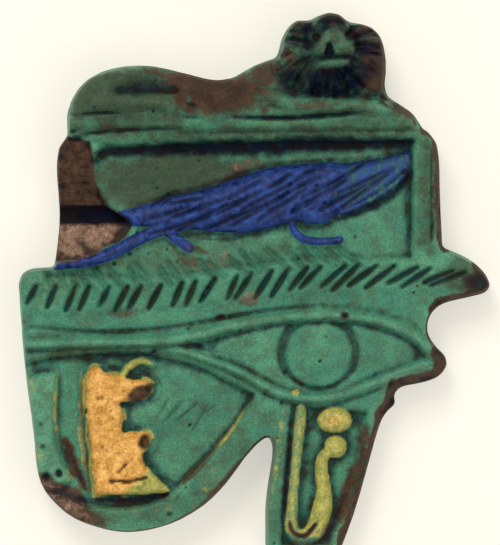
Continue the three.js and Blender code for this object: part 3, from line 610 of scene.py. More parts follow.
# %% [markdown]
# ## The wall and the hole
# The outline becomes a wall that is rounded in at the back and leans in with height, as a mould's wall does, so
# that the paste could be lifted out. The suspension hole runs along the panel and would be made by a rod or straw
# laid through the wet paste. A long round rod with slightly uneven rings cuts it.

# %% Wall and hole
HOLE_RADIUS, HOLE_Y, HOLE_Z = 1.2, 9.6, 4.2


def ring_faces(rings, count):
    """Quads between rings of equal length, with the two end rings closed."""
    i = np.arange(count)
    j = (i + 1) % count
    faces = [[*range(count)][::-1]]
    for r in range(rings - 1):
        faces += np.column_stack([r * count + i, r * count + j, (r + 1) * count + j, (r + 1) * count + i]).tolist()
    return faces + [[*range((rings - 1) * count, rings * count)]]


def leaning_wall():
    """The outline carried up, rounded in at the back and leaning in with height."""
    run = np.roll(outline, -1, axis=0) - np.roll(outline, 1, axis=0)
    inward = np.column_stack([-run[:, 1], run[:, 0]]) / np.linalg.norm(run, axis=1)[:, None]
    levels = [(0, 0.3), (0.15, 0.12), (0.45, 0.03), (1.5, 0.06), (2.8, 0.12), (4.2, 0.2), (5.6, 0.3), (6.8, 0.4),
              (8, 0.5), (9.5, 0.62), (14, 0.8)]
    rings = []
    for z, inset in levels:
        unevenness = 0.06 * (1 + cloud(3.1, 41, outline[:, 0] + z, outline[:, 1] - z)) * min(1, z)
        unevenness += 0.04 * (1 + cloud(0.9, 42, outline[:, 0] + z, outline[:, 1] + z)) * min(1, z)
        plan = outline + inward * (inset + unevenness)[:, None]
        rings.append(np.column_stack([plan, np.full(len(plan), float(z))]))
    return mesh_object("wall", np.vstack(rings), ring_faces(len(rings), len(outline)))


def suspension_hole(radius, y, z):
    """A slightly uneven round rod to cut the hole with, along the panel."""
    turn = np.linspace(0, 2 * math.pi, 24, endpoint=False)
    stations = np.linspace(-36, 36, 37)
    rings = []
    for k, x in enumerate(stations):
        wobble = radius * (1 + 0.05 * np.sin(3 * turn + k) + 0.04 * math.sin(1.7 * k))
        rings.append(np.column_stack([np.full(24, x), y + wobble * np.cos(turn), z + wobble * np.sin(turn)]))
    return mesh_object("hole", np.vstack(rings), ring_faces(len(rings), 24))


wall, hole = leaning_wall(), suspension_hole(HOLE_RADIUS, HOLE_Y, HOLE_Z)
print("wall:", len(wall.data.vertices), "points; hole", 2 * HOLE_RADIUS, "mm across")

# %% [markdown]
# ## Cutting the body
# The body is what the blocks and the wall have in common, less the hole. Blender's Boolean modifier with the
# Manifold solver does that in a second, and the result is closed by its nature.

# %% Cut the body
def evaluated_copy(obj, name):
    """A plain mesh object with every modifier of the old one applied."""
    bpy.context.view_layer.update()
    graph = bpy.context.evaluated_depsgraph_get()
    data = bpy.data.meshes.new_from_object(obj.evaluated_get(graph), depsgraph=graph)
    data.name = name
    copy = bpy.data.objects.new(name, data)
    bpy.context.scene.collection.objects.link(copy)
    return copy


for operation, cutter in (("INTERSECT", wall), ("INTERSECT", back), ("DIFFERENCE", hole)):
    cut = block.modifiers.new(cutter.name, "BOOLEAN")
    cut.operation, cut.object, cut.solver = operation, cutter, "MANIFOLD"
body = evaluated_copy(block, "pressed_body")
for used in (block, back, wall, hole):
    bpy.data.objects.remove(used)
print("pressed body:", len(body.data.vertices), "points,", len(body.data.polygons), "faces")

# %% [markdown]
# ## Hatching drawn with a point
# Brow hairs, mane locks and the crocodile's scutes are all the same thing: short strokes repeated along a line,
# pressed into wet paste. That is what Geometry Nodes is good at. One tree serves all rows, so its sizes are named
# inputs. A small helper adds each node, here and in the materials.

# %% A node helper and the tree's inputs
def add(tree, kind, links=(), **settings):
    """One node with its settings. Links give each input a value, a socket, or a node's first visible output."""
    node = tree.nodes.new(kind)
    for key, value in settings.items():
        setattr(node, key, value)
    for key, value in links.items() if isinstance(links, dict) else enumerate(links):
        if isinstance(value, bpy.types.Node):
            value = next(output for output in value.outputs if output.enabled)
        if isinstance(value, bpy.types.NodeSocket):
            tree.links.new(value, node.inputs[key])
        else:
            node.inputs[key].default_value = value
    return node


STROKE_INPUTS = {
    "Path": "NodeSocketObject", "Count": "NodeSocketInt", "First length": "NodeSocketFloat",
    "Last length": "NodeSocketFloat", "First lean": "NodeSocketFloat", "Last lean": "NodeSocketFloat",
    "Half width": "NodeSocketFloat", "Depth": "NodeSocketFloat", "Unevenness": "NodeSocketFloat",
    "Residue": "NodeSocketFloat", "Seed": "NodeSocketInt", "Material": "NodeSocketMaterial"}

press_strokes = bpy.data.node_groups.new("Press strokes along a path", "GeometryNodeTree")
press_strokes.interface.new_socket("Geometry", in_out="INPUT", socket_type="NodeSocketGeometry")
for name, kind in STROKE_INPUTS.items():
    press_strokes.interface.new_socket(name, in_out="INPUT", socket_type=kind)
press_strokes.interface.new_socket("Geometry", in_out="OUTPUT", socket_type="NodeSocketGeometry")
given = add(press_strokes, "NodeGroupInput").outputs
print("stroke tree:", len(STROKE_INPUTS), "named inputs")

# %% [markdown]
# ## Strokes along a path
# A hand draws no two strokes alike. The tree spreads points along the path and gives each a slip, a lean and a
# stretch of its own from one random vector with a fixed seed. A line is set on each point and cut into short wires
# that carry how far along the stroke they are, because a stroke starts and ends lightly.

# %% Spread the strokes
def stroke_wires(tree, given):
    """Thin wires where the strokes lie on the plan, with their swell."""
    number = add(tree, "GeometryNodeInputIndex")
    last = add(tree, "ShaderNodeMath", [given["Count"], 1.0], operation="SUBTRACT")
    share = add(tree, "ShaderNodeMath", [number, last], operation="DIVIDE")
    chance = add(tree, "FunctionNodeRandomValue", {0: (-1, -1, -1), 1: (1, 1, 1), "Seed": given["Seed"]},
                 data_type="FLOAT_VECTOR")
    chance = add(tree, "ShaderNodeVectorMath", {0: chance, "Scale": given["Unevenness"]}, operation="SCALE")
    hand = add(tree, "ShaderNodeSeparateXYZ", [chance]).outputs

    slip = add(tree, "ShaderNodeMath", [hand["X"], given["Count"]], operation="DIVIDE")
    place = add(tree, "ShaderNodeMath", [slip, 0.6, share], operation="MULTIPLY_ADD")
    path = add(tree, "GeometryNodeObjectInfo", {"Object": given["Path"]}).outputs["Geometry"]
    on_path = add(tree, "GeometryNodeSampleCurve", {"Curves": path, "Factor": place}, use_all_curves=True)
    heading = add(tree, "ShaderNodeSeparateXYZ", [on_path.outputs["Tangent"]]).outputs
    heading = add(tree, "ShaderNodeMath", [heading["Y"], heading["X"]], operation="ARCTAN2")
    lean = add(tree, "ShaderNodeMix", {0: share, 2: given["First lean"], 3: given["Last lean"]})
    lean = add(tree, "ShaderNodeMath", [hand["Y"], 0.3, lean], operation="MULTIPLY_ADD")
    turn = add(tree, "ShaderNodeMath", [heading, lean], operation="ADD")
    turn = add(tree, "ShaderNodeCombineXYZ", {"Z": turn})
    length = add(tree, "ShaderNodeMix", {0: share, 2: given["First length"], 3: given["Last length"]})
    stretch = add(tree, "ShaderNodeMath", [hand["Z"], 0.35, 1.0], operation="MULTIPLY_ADD")
    length = add(tree, "ShaderNodeMath", [length, stretch], operation="MULTIPLY")

    marks = add(tree, "GeometryNodePoints", {"Count": given["Count"], "Position": on_path.outputs["Position"]})
    stroke = add(tree, "GeometryNodeCurvePrimitiveLine", {"Start": (0, 0, 0), "End": (1, 0, 0)})
    rows = add(tree, "GeometryNodeInstanceOnPoints", {
        "Points": marks, "Instance": stroke, "Scale": length,
        "Rotation": add(tree, "FunctionNodeEulerToRotation", [turn])})
    rows = add(tree, "GeometryNodeRealizeInstances", [rows])
    rows = add(tree, "GeometryNodeResampleCurve", {"Curve": rows, "Count": 14})
    along = add(tree, "GeometryNodeSplineParameter").outputs["Factor"]
    swell = add(tree, "ShaderNodeMath", [along, math.pi], operation="MULTIPLY")
    swell = add(tree, "ShaderNodeMath", [swell], operation="SINE")
    rows = add(tree, "GeometryNodeStoreNamedAttribute", {"Geometry": rows, "Name": "swell", "Value": swell})
    return add(tree, "GeometryNodeCurveToMesh", {"Curve": rows})


wires = stroke_wires(press_strokes, given)
print("strokes:", len(press_strokes.nodes), "nodes")

# %% [markdown]
# ## Pressing them in
# Strokes could be cut out with a Boolean, but hundreds of thin cutters are slow and leave hard edges. Here every
# point of the surface asks how far it is from the nearest wire and sinks by that, only where it faces up. The
# same push is kept as an attribute, so that the glaze can pool there.

# %% Press the strokes in
def pressed_surface(tree, given, wires):
    """The surface sunk under the strokes, with what pools in them."""
    position = add(tree, "GeometryNodeInputPosition")
    plan = add(tree, "ShaderNodeVectorMath", [position, (1, 1, 0)], operation="MULTIPLY")
    gap = add(tree, "GeometryNodeProximity", {0: wires, "Sample Position": plan}, target_element="EDGES")
    nearest = add(tree, "GeometryNodeSampleNearest", {"Geometry": wires, "Sample Position": plan})
    swell = add(tree, "GeometryNodeInputNamedAttribute", {"Name": "swell"}, data_type="FLOAT")
    swell = add(tree, "GeometryNodeSampleIndex", {"Geometry": wires, "Value": swell, "Index": nearest})
    swell = add(tree, "ShaderNodeMath", [swell, 0.2, 0.8], operation="MULTIPLY_ADD")
    width = add(tree, "ShaderNodeMath", [swell, given["Half width"]], operation="MULTIPLY")
    press = add(tree, "ShaderNodeMapRange", {"Value": gap.outputs["Distance"], "From Max": width,
                                             "To Min": 1.0, "To Max": 0.0}, interpolation_type="SMOOTHSTEP")
    press = add(tree, "ShaderNodeMath", [press, swell], operation="MULTIPLY")
    weight = add(tree, "ShaderNodeTexNoise", {"Vector": position, "Scale": 300.0, "Detail": 1.0})
    weight = add(tree, "ShaderNodeMath", [weight, 0.5], operation="ADD")
    press = add(tree, "ShaderNodeMath", [press, weight], operation="MULTIPLY")
    facing = add(tree, "ShaderNodeSeparateXYZ", [add(tree, "GeometryNodeInputNormal")]).outputs["Z"]
    facing = add(tree, "ShaderNodeMapRange", {"Value": facing, "From Min": 0.05, "From Max": 0.3})
    press = add(tree, "ShaderNodeMath", [press, facing], operation="MULTIPLY")
    fall = add(tree, "ShaderNodeMath", [press, given["Depth"]], operation="MULTIPLY")
    fall = add(tree, "ShaderNodeMath", [fall, -1.0], operation="MULTIPLY")

    before = add(tree, "GeometryNodeInputNamedAttribute", {"Name": "residue"}, data_type="FLOAT")
    pooled = add(tree, "ShaderNodeMath", [press, press], operation="MULTIPLY")
    pooled = add(tree, "ShaderNodeMath", [pooled, given["Residue"]], operation="MULTIPLY")
    pooled = add(tree, "ShaderNodeMath", [before, pooled], operation="MAXIMUM")
    stored = add(tree, "GeometryNodeStoreNamedAttribute", {
        "Geometry": given["Geometry"], "Name": "residue", "Value": pooled}, data_type="FLOAT", domain="POINT")
    pressed = add(tree, "GeometryNodeSetPosition", {
        "Geometry": stored, "Offset": add(tree, "ShaderNodeCombineXYZ", {"Z": fall})})
    realized = add(tree, "GeometryNodeRealizeInstances", [pressed])
    return add(tree, "GeometryNodeSetMaterial", {"Geometry": realized, "Material": given["Material"]})


add(press_strokes, "NodeGroupOutput", [pressed_surface(press_strokes, given, wires)])
print("stroke tree:", len(press_strokes.nodes), "nodes in all")

# %% [markdown]
# ## Faience: a copper-green glaze
# Faience is fired quartz paste with a thin alkaline glaze, coloured by copper and cobalt. It is less glossy than
# pottery glaze, thick and dark in hollows, thin and pale on ridges, and here ridge crests get a painted highlight as
# well. A picture could be projected on it, but noise at real sizes holds at any distance and from all sides. Colours
# are noted as sRGB codes and turned to linear.

# %% The green ground
def linear(code):
    """An sRGB colour code as the linear colour that a shader wants."""
    srgb = [int(code[k:k + 2], 16) / 255 for k in (0, 2, 4)]
    return [c / 12.92 if c <= 0.04045 else ((c + 0.055) / 1.055) ** 2.4 for c in srgb] + [1.0]


# Copper-green glaze fired on quartz paste gives the eye soft broad highlights, dark pools, brown wear and stains.
faience = bpy.data.materials.new("glazed quartz faience")
faience.use_nodes = True
tree = faience.node_tree
tree.nodes.clear()
here = add(tree, "ShaderNodeTexCoord").outputs["Object"]
# Noise scale is per metre: patches about 5 mm, stains 2 mm, mottling 1 mm, paste grain drawn at 0.3 mm.
patches = add(tree, "ShaderNodeTexNoise", {"Vector": here, "Scale": 1 / (5 * MM), "Detail": 4.0})
patches = add(tree, "ShaderNodeMapRange", {"Value": patches, "From Min": 0.3, "From Max": 0.7})
stains = add(tree, "ShaderNodeTexNoise", {"Vector": here, "Scale": 1 / (2 * MM), "Detail": 6.0,
                                          "Roughness": 0.7})
mottle = add(tree, "ShaderNodeTexNoise", {"Vector": here, "Scale": 1 / (1 * MM), "Detail": 5.0,
                                          "Roughness": 0.7})
grain = add(tree, "ShaderNodeTexNoise", {"Vector": here, "Scale": 1 / (0.3 * MM), "Detail": 3.0,
                                         "Roughness": 0.75})
colour = add(tree, "ShaderNodeMix", {0: patches, 6: linear("33765F"), 7: linear("4F8F6C")}, data_type="RGBA")
speckle = add(tree, "ShaderNodeMapRange", {"Value": mottle, "From Min": 0.52, "From Max": 0.75, "To Max": 0.5})
colour = add(tree, "ShaderNodeMix", {0: speckle, 6: colour, 7: linear("6F9068")}, data_type="RGBA")

shape = add(tree, "ShaderNodeAttribute", attribute_name="shape")
shape = add(tree, "ShaderNodeSeparateColor", [shape.outputs["Color"]]).outputs
# Raised places turn paler: thin glaze, and on ridge crests a painted highlight.
colour = add(tree, "ShaderNodeMix", {0: shape["Green"], 6: colour, 7: linear("6FAA84")}, data_type="RGBA")
# Soil, and painted shade along the top frame and under the lid, come in through the shape's blue channel.
soil_and_shade_amount = add(tree, "ShaderNodeMapRange", {"Value": stains, "From Min": 0.42, "From Max": 0.72, "To Max": 0.7})
soil_and_shade_amount = add(tree, "ShaderNodeMath", [soil_and_shade_amount, shape["Blue"]], operation="ADD")
soil_and_shade_amount = add(tree, "ShaderNodeMath", [soil_and_shade_amount, 0.9], operation="MINIMUM")
colour = add(tree, "ShaderNodeMix", {0: soil_and_shade_amount, 6: colour, 7: linear("37452B")}, data_type="RGBA")
print("green ground:", len(tree.nodes), "nodes")

# %% [markdown]
# ## Paints and wear over the ground
# Blue, yellow and olive glazes were painted beside the green, and handling wore it away to the brown core. The
# brown and near-black layers also carry painted shade. Where each lies is read from attributes on the mesh. Noise is
# added to the amount before it becomes a mask, so no colour ends at a drawn line.

# %% Paints and wear
# Each one's attribute, channel, darker and lighter tone, how much noise frays it, and where it starts and fills.
# In the worn attribute, the brown and the near-black layers also lay painted shade.
FAIENCE_LAYERS = [
    ("painted", "Blue", "868B42", "C0B45E", 0.4, 0.25, 0.75), ("painted", "Red", "0A1240", "22458C", 0.5, 0.2, 0.75),
    ("painted", "Green", "B97F2E", "EDB662", 0.35, 0.3, 0.7), ("worn", "Red", "291A11", "563D2A", 0.6, 0.1, 0.9),
    ("worn", "Blue", "5F4636", "9A7C66", 0.6, 0.1, 0.9), ("worn", "Green", "03050C", "0C1428", 0.3, 0.0, 0.95)]

masks = {}
for name, channel, dark, light, fray, start, full in FAIENCE_LAYERS:
    amount = add(tree, "ShaderNodeAttribute", attribute_name=name)
    amount = add(tree, "ShaderNodeSeparateColor", [amount.outputs["Color"]]).outputs[channel]
    broken = add(tree, "ShaderNodeMath", [mottle, 0.5], operation="SUBTRACT")
    broken = add(tree, "ShaderNodeMath", [broken, fray * 2, amount], operation="MULTIPLY_ADD")
    mask = add(tree, "ShaderNodeMapRange", {"Value": broken, "From Min": start, "From Max": full},
               interpolation_type="SMOOTHSTEP")
    present = add(tree, "ShaderNodeMapRange", {"Value": amount, "From Max": 0.15})
    mask = add(tree, "ShaderNodeMath", [mask, present], operation="MULTIPLY")
    tone = add(tree, "ShaderNodeMath", [stains, mottle], operation="ADD")
    tone = add(tree, "ShaderNodeMapRange", {"Value": tone, "From Min": 0.75, "From Max": 1.25})
    tone = add(tree, "ShaderNodeMix", {0: tone, 6: linear(dark), 7: linear(light)}, data_type="RGBA")
    colour = add(tree, "ShaderNodeMix", {0: mask, 6: colour, 7: tone}, data_type="RGBA")
    masks[name, channel] = mask
print("faience:", len(FAIENCE_LAYERS), "paints and wears")

# %% [markdown]
# ## Pools, gloss and grain
# Glaze and dirt gather in strokes and crevices, so those are darkened last, over every paint. Fine grain breaks
# all of it up. Glaze shines a little, the bare core is matt, and packed dirt hardly reflects at all.

# %% Pools, gloss and grain
pool = add(tree, "ShaderNodeAttribute", attribute_name="residue").outputs["Fac"]
crevice = add(tree, "ShaderNodeMath", [stains, 1.6], operation="MULTIPLY")
crevice = add(tree, "ShaderNodeMath", [crevice, shape["Red"]], operation="MULTIPLY")
pool = add(tree, "ShaderNodeMath", [pool, crevice], operation="MAXIMUM")
pool = add(tree, "ShaderNodeMath", [pool, 0.85], operation="MINIMUM")
stain = add(tree, "ShaderNodeMix", {0: patches, 6: linear("0B1A14"), 7: linear("111B38")}, data_type="RGBA")
rusty = add(tree, "ShaderNodeMapRange", {"Value": stains, "From Min": 0.45, "From Max": 0.6})
stain = add(tree, "ShaderNodeMix", {0: rusty, 6: stain, 7: linear("211610")}, data_type="RGBA")
colour = add(tree, "ShaderNodeMix", {0: pool, 6: colour, 7: stain}, data_type="RGBA")
dust = add(tree, "ShaderNodeMapRange", {"Value": grain, "From Min": 0.3, "From Max": 0.7, "To Min": 0.62,
                                        "To Max": 1.34})
colour = add(tree, "ShaderNodeVectorMath", {0: colour, "Scale": dust}, operation="SCALE")

gloss = add(tree, "ShaderNodeMapRange", {"Value": masks["worn", "Red"], "To Min": 0.38, "To Max": 0.8})
gloss = add(tree, "ShaderNodeMath", [mottle, 0.2, gloss], operation="MULTIPLY_ADD")
height = add(tree, "ShaderNodeMath", [mottle, 1.5, grain], operation="MULTIPLY_ADD")
bump = add(tree, "ShaderNodeBump", {"Height": height, "Strength": 0.4, "Distance": 0.15 * MM})
shine = add(tree, "ShaderNodeMath", [masks["worn", "Green"], pool], operation="MAXIMUM")
shine = add(tree, "ShaderNodeMapRange", {"Value": shine, "To Min": 0.25, "To Max": 0.02})
shader = add(tree, "ShaderNodeBsdfPrincipled", {"Base Color": colour, "Roughness": gloss, "Normal": bump,
                                                "IOR": 1.5, "Specular IOR Level": shine})
add(tree, "ShaderNodeOutputMaterial", [shader])
print("faience:", len(tree.nodes), "nodes in all")

# %% [markdown]
# ## Rows of strokes on this amulet
# Each row is the same tree with its own path and sizes. The lower brow row is deep, holds the most dirt and leans
# more towards the right, as a hand does that draws away from itself. The row above it is shallower. The crocodile
# carries long slanting lines, and the mane's locks run out from the face.

# %% Paths and sizes of the rows
def path_object(name, points):
    """A line on the plan for strokes to follow."""
    data = bpy.data.curves.new(name, "CURVE")
    data.dimensions = "3D"
    spline = data.splines.new("POLY")
    spline.points.add(len(points) - 1)
    for point, place in zip(spline.points, points):
        point.co = (place[0] * MM, place[1] * MM, 0, 1)
    obj = bpy.data.objects.new(name, data)
    bpy.context.scene.collection.objects.link(obj)
    return obj


def beside(line, offset):
    """A line shifted to its left by an offset."""
    run = np.gradient(line[:, :2], axis=0)
    run /= np.linalg.norm(run, axis=1)[:, None]
    return line[:, :2] + offset * np.column_stack([-run[:, 1], run[:, 0]])


def part_of(line, low, high):
    """The points of a line between two plan x values."""
    return line[(line[:, 0] >= low) & (line[:, 0] <= high)]


face_turn = np.radians(np.linspace(-215, 55, 40))
around_face = np.column_stack([10.6 + 3.4 * np.cos(face_turn), 32 + 2.9 * np.sin(face_turn)])
mane_rim = np.column_stack([10.6 + 5.6 * np.cos(face_turn), 32 + 4.8 * np.sin(face_turn)])
back_of_crocodile = part_of(CROCODILE, -15, 12)
across_cheek = curve_through([(-12, -16), (-8.5, -16.4), (-5.4, -17)])
# Path, count, first and last length, first and last lean in degrees, half width, depth, unevenness, residue.
STROKE_ROWS = {
    "brow_below": (part_of(BROW_CREST, -31.6, 30.8), 25, 3, 4.8, -112, -147, 0.78, 0.75, 0.4, 1.7),
    "brow_above": (part_of(BROW_CREST, -30, 15), 22, 3, 4, 116, 132, 0.75, 0.6, 0.5, 0.3),
    "flank_lines": (beside(back_of_crocodile, -2.6), 8, 8.4, 8, 15, 22, 0.72, 0.62, 0.4, 0.95),
    "back_lines": (beside(back_of_crocodile, -0.6), 7, 6.8, 6, 15, 22, 0.62, 0.5, 0.5, 0.85),
    "ridge_lines": (beside(back_of_crocodile, 1.3), 6, 4.8, 4.4, 12, 24, 0.55, 0.4, 0.6, 0.8),
    "cheek_scratches": (across_cheek, 6, 3.8, 3.2, -118, -124, 0.45, 0.22, 0.8, 0.5),
    "mane_locks": (around_face, 19, 3.2, 3, -75, -105, 0.6, 0.8, 0.9, 0.9),
    "mane_ends": (mane_rim, 21, 1.9, 1.8, -65, -115, 0.5, 0.55, 1, 0.8)}
print("rows of strokes:", ", ".join(STROKE_ROWS))

# %% [markdown]
# ## One modifier for each row
# The rows are pressed one after another, as they were drawn, so each is a modifier of its own on the same body,
# with its inputs set by their identifiers before anything is evaluated. The evaluated result is then turned into a
# plain mesh, because the piece that is handed on must not need its modifiers.

# %% Press the rows into the body
sockets = {item.name: item.identifier for item in press_strokes.interface.items_tree if item.in_out == "INPUT"}
paths = []
for seed, (name, row) in enumerate(STROKE_ROWS.items()):
    path, count, first, last, first_lean, last_lean, half_width, depth, unevenness, residue = row
    paths.append(path_object(name, path))
    values = {"Path": paths[-1], "Count": count, "First length": first * MM, "Last length": last * MM,
              "First lean": math.radians(first_lean), "Last lean": math.radians(last_lean),
              "Half width": half_width * MM, "Depth": depth * MM, "Unevenness": unevenness, "Residue": residue,
              "Seed": seed, "Material": faience}
    modifier = body.modifiers.new(name, "NODES")
    modifier.node_group = press_strokes
    for key, value in values.items():
        modifier[sockets[key]] = value
amulet = evaluated_copy(body, "faience_amulet")
for used in [body, *paths]:
    bpy.data.objects.remove(used)
amulet.data.shade_smooth()
amulet.data.set_sharp_from_angle(angle=math.radians(60))
triangles = sum(len(face.vertices) - 2 for face in amulet.data.polygons)
print("amulet:", len(amulet.data.vertices), "points,", triangles, "triangles,", len(STROKE_ROWS), "rows of strokes")

# %% [markdown]
# ## Soft areas for paint and wear
# Glaze was brushed on and rubbed off, so none of its areas has a clean edge. They could be painted on by hand, but
# a script has to say them: each is a soft oval, or a soft band along a line, frayed with random patches. Many of
# them together make one field on the plan grid.

# %% Patches and bands
def patches_of(spots, seed):
    """Soft oval patches: x, y, half length, half width, turn in degrees and strength of each."""
    field = np.zeros(X.shape)
    for x, y, long, wide, turn, strength in spots:
        c, s = math.cos(math.radians(turn)), math.sin(math.radians(turn))
        reach = np.hypot(((X - x) * c + (Y - y) * s) / long, ((Y - y) * c - (X - x) * s) / wide)
        field = np.maximum(field, strength * ramp(1.4 - reach - 0.25 * cloud(1.5, seed), 0, 0.9))
    return field


def bands_of(lines, seed):
    """Soft bands along lines: the points, the half width and the strength of each."""
    field = np.zeros(X.shape)
    for points, half_width, strength in lines:
        distance, along = near_line(curve_through(points), half_width + 2)
        taper = 0.3 + 0.7 * np.sqrt(np.sin(math.pi * np.clip(along, 0, 1)))
        half = half_width * taper * (1 + 0.3 * cloud(1.2, seed))
        soft = max(0.35, 0.8 * half_width)
        field = np.maximum(field, strength * ramp(half - distance, -soft, soft))
    return field


def share_of(field):
    """The share of the face where a field is more than half."""
    return round(float(np.mean(field[edge > 0] > 0.5)), 3)


print("face:", round(float(np.sum(edge > 0)) * STEP**2), "square mm to paint")

# %% [markdown]
# ## The painted glazes
# Blue was painted on the crocodile and yellow on the seated figure. A yellower green, olive where it is thin,
# covers the cobra and the horn and ran along some rims. The areas are the same drawn shapes as in the relief, so
# paint and form agree.

# %% Paint the glazes
OLIVE_LINES = [
    ([(-1, -16.6), (-3, -20), (-7, -24.5), (-10.5, -28)], 0.4, 0.6),
    ([(-27.3, -12), (-27.6, -18), (-27, -23)], 0.35, 0.6), ([(-24, -12), (-24, -20), (-23, -29)], 0.5, 0.6),
    ([(4, -17), (3.2, -24), (2.2, -31)], 0.6, 0.4), (HORN, 0.6, 0.8), ([(3, 17.2), (12, 17.7), (20, 18.8)], 0.2, 0.45)]
OLIVE_SPOTS = [
    (-6, -27, 3.4, 1.6, 45, 0.3), (-14, -31.3, 7, 1.2, 3, 0.28), (-30, -24.2, 1.3, 2, -10, 0.4),
    (-31.2, -14.2, 1.3, 1.2, 0, 0.4), (-25.6, -26.8, 0.8, 2, 10, 0.4)]

on_crocodile = ramp(body_width + 0.15 - spine, 0, 0.4) * (1 - 0.4 * ramp(X, 6, 15))
on_joints = 0.75 * ramp(1.1 - np.minimum(shoulder, thigh), 0, 0.2)
blue = np.maximum.reduce([on_crocodile, leg_mask, on_joints]) * ramp(22.1 - X, 0, 0.4)
base_corner = ramp(X - Y, 10.4, 12) * ramp(-25 - Y, 0, 1)
button_heart = ramp(1.3 - np.hypot((X - 10.9) / 1.7, (Y + 18.9) / 1.3), 0, 0.9)
yellow = np.maximum(ramp(figure_depth, -0.1, 0.35) * (1 - base_corner), 0.5 * button_heart)
# Olive shows round the yellow in a broken line, widest down the figure's left side.
olive_rim = ramp(figure_depth, -0.6, -0.2) * ramp(cloud(1.5, 61) + 0.5 * ramp(-17.5 - X, 0, 3), 0, 0.5)
on_cobra = ramp(cobra_width + 0.15 - cobra, 0, 0.3) * ramp(Y, -35.8, -34.4) * (0.54 + 0.46 * ramp(X, 6.5, 7.5))
olive = np.maximum.reduce([on_cobra, 0.8 * olive_rim, 0.9 * ramp(figure_depth, -0.1, 0.2),
                           bands_of(OLIVE_LINES, 52), patches_of(OLIVE_SPOTS, 51)])
for x, y, rx, ry in (*COBRA_BUTTONS, (5.7, -15.1, 0.5, 0.5)):
    olive = np.maximum(olive, ramp(1.1 - np.hypot((X - x) / rx, (Y - y) / ry), 0, 0.2))
print("shares of the face: blue", share_of(blue), "yellow", share_of(yellow), "olive", share_of(olive))

# %% [markdown]
# ## Bare brown body
# Brown is the fired core, bare in the break and on the rubbed edges, on the lion's back and mane, and along the
# foot of the cheek. Its lower part in the break is a paler tan. None of it is a paint except one line under the
# figure's base, which is painted shadow; the rest follows the wear that was modelled, with spots and lines only
# where the glaze alone is gone.

# %% Bare the body
BROWN_SPOTS = [
    (-5.5, 26.4, 7.4, 3.8, -10, 0.9), (16.6, 30.5, 2.6, 5, 5, 0.9), (15.7, 35.2, 2.4, 1.8, 0, 0.9),
    (11, 36.6, 2.6, 1.2, 0, 0.75), (6.2, 35.6, 1.6, 1.8, 0, 0.7), (1.4, 28.8, 3, 2, 20, 0.75),
    (9, 24.9, 4, 0.9, 0, 0.55), (21.4, 24.4, 3, 1.8, -35, 0.8), (5, 30.6, 1.4, 2.6, 20, 0.55),
    (31, 0.2, 2.4, 1.6, -10, 0.65), (-19, -4, 2.2, 0.8, 0, 0.55), (-1, -2.5, 1.6, 0.8, 0, 0.55),
    (23.6, -13.4, 3.2, 1.3, 15, 0.85), (-26, -30.4, 6, 2.2, -35, 0.95), (-30, -27.6, 2, 1.6, -50, 0.8),
    (7.2, -36.6, 4, 1.3, 0, 0.6), (-16, -15.2, 1.9, 1.1, 15, 0.85), (-1.5, 16.3, 2.6, 0.9, 15, 0.6),
    (-7.8, 4.6, 1.6, 0.6, -20, 0.6), (-8.6, 2.8, 1.6, 0.6, -20, 0.6), (-20.5, 21.6, 3, 0.5, 0, 0.5),
    (-4.7, -4.7, 0.9, 0.5, 15, 0.7), (12.5, -4.4, 0.7, 0.6, 0, 0.7), (-12.6, 29.2, 3.4, 1, -14, 0.6)]
BROWN_LINES = [
    ([(15.6, -19.4), (14.8, -24.3), (13.4, -27.5), (12.8, -29.5), (11.9, -32.1), (9.4, -35.4)], 1.1, 0.85),
    ([(17.6, -19), (16.4, -23), (15.4, -27)], 0.9, 0.8), (COBRA_SPLIT, 0.4, 0.9),
    ([(4.9, -19), (4.4, -26), (3.8, -33)], 0.5, 0.6), ([(-5, -22.4), (-8, -25.8), (-10, -27.8)], 0.5, 0.6),
    ([(25.5, 20), (25.4, 12), (25.6, 6)], 0.6, 0.85), ([(26, -2.8), (29.5, -1.8), (32.5, -0.8)], 0.5, 0.7),
    # The second band on the next line is a painted shadow under the figure's base, in brown.
    ([(-26.4, -21.4), (-25.2, -24.6), (-23.4, -28.6)], 0.85, 1), ([(-22, -29.9), (-17, -30.1), (-12, -29.3)], 0.5, 0.8),
    ([(-8, -31.2), (-4.6, -28), (-2, -24.4)], 0.5, 0.8)]
TAN_SPOTS = [
    (-26, -30.4, 5, 1.6, -35, 0.5), (-4, 4, 1.1, 0.6, -30, 0.5), (-0.8, -1.9, 1.4, 0.9, 0, 0.45),
    (-1.5, 16.4, 2.2, 0.7, 15, 0.4), (-9, 2.6, 7, 1.3, 4, 0.2)]

brown = np.maximum.reduce([patches_of(BROWN_SPOTS, 53), bands_of(BROWN_LINES, 54), in_break, 0.85 * worn])
tan = np.maximum(in_break * ramp(8.6 - Y, 0, 1.2), patches_of(TAN_SPOTS, 50))
print("shares of the face: brown", share_of(brown), "tan", share_of(tan))
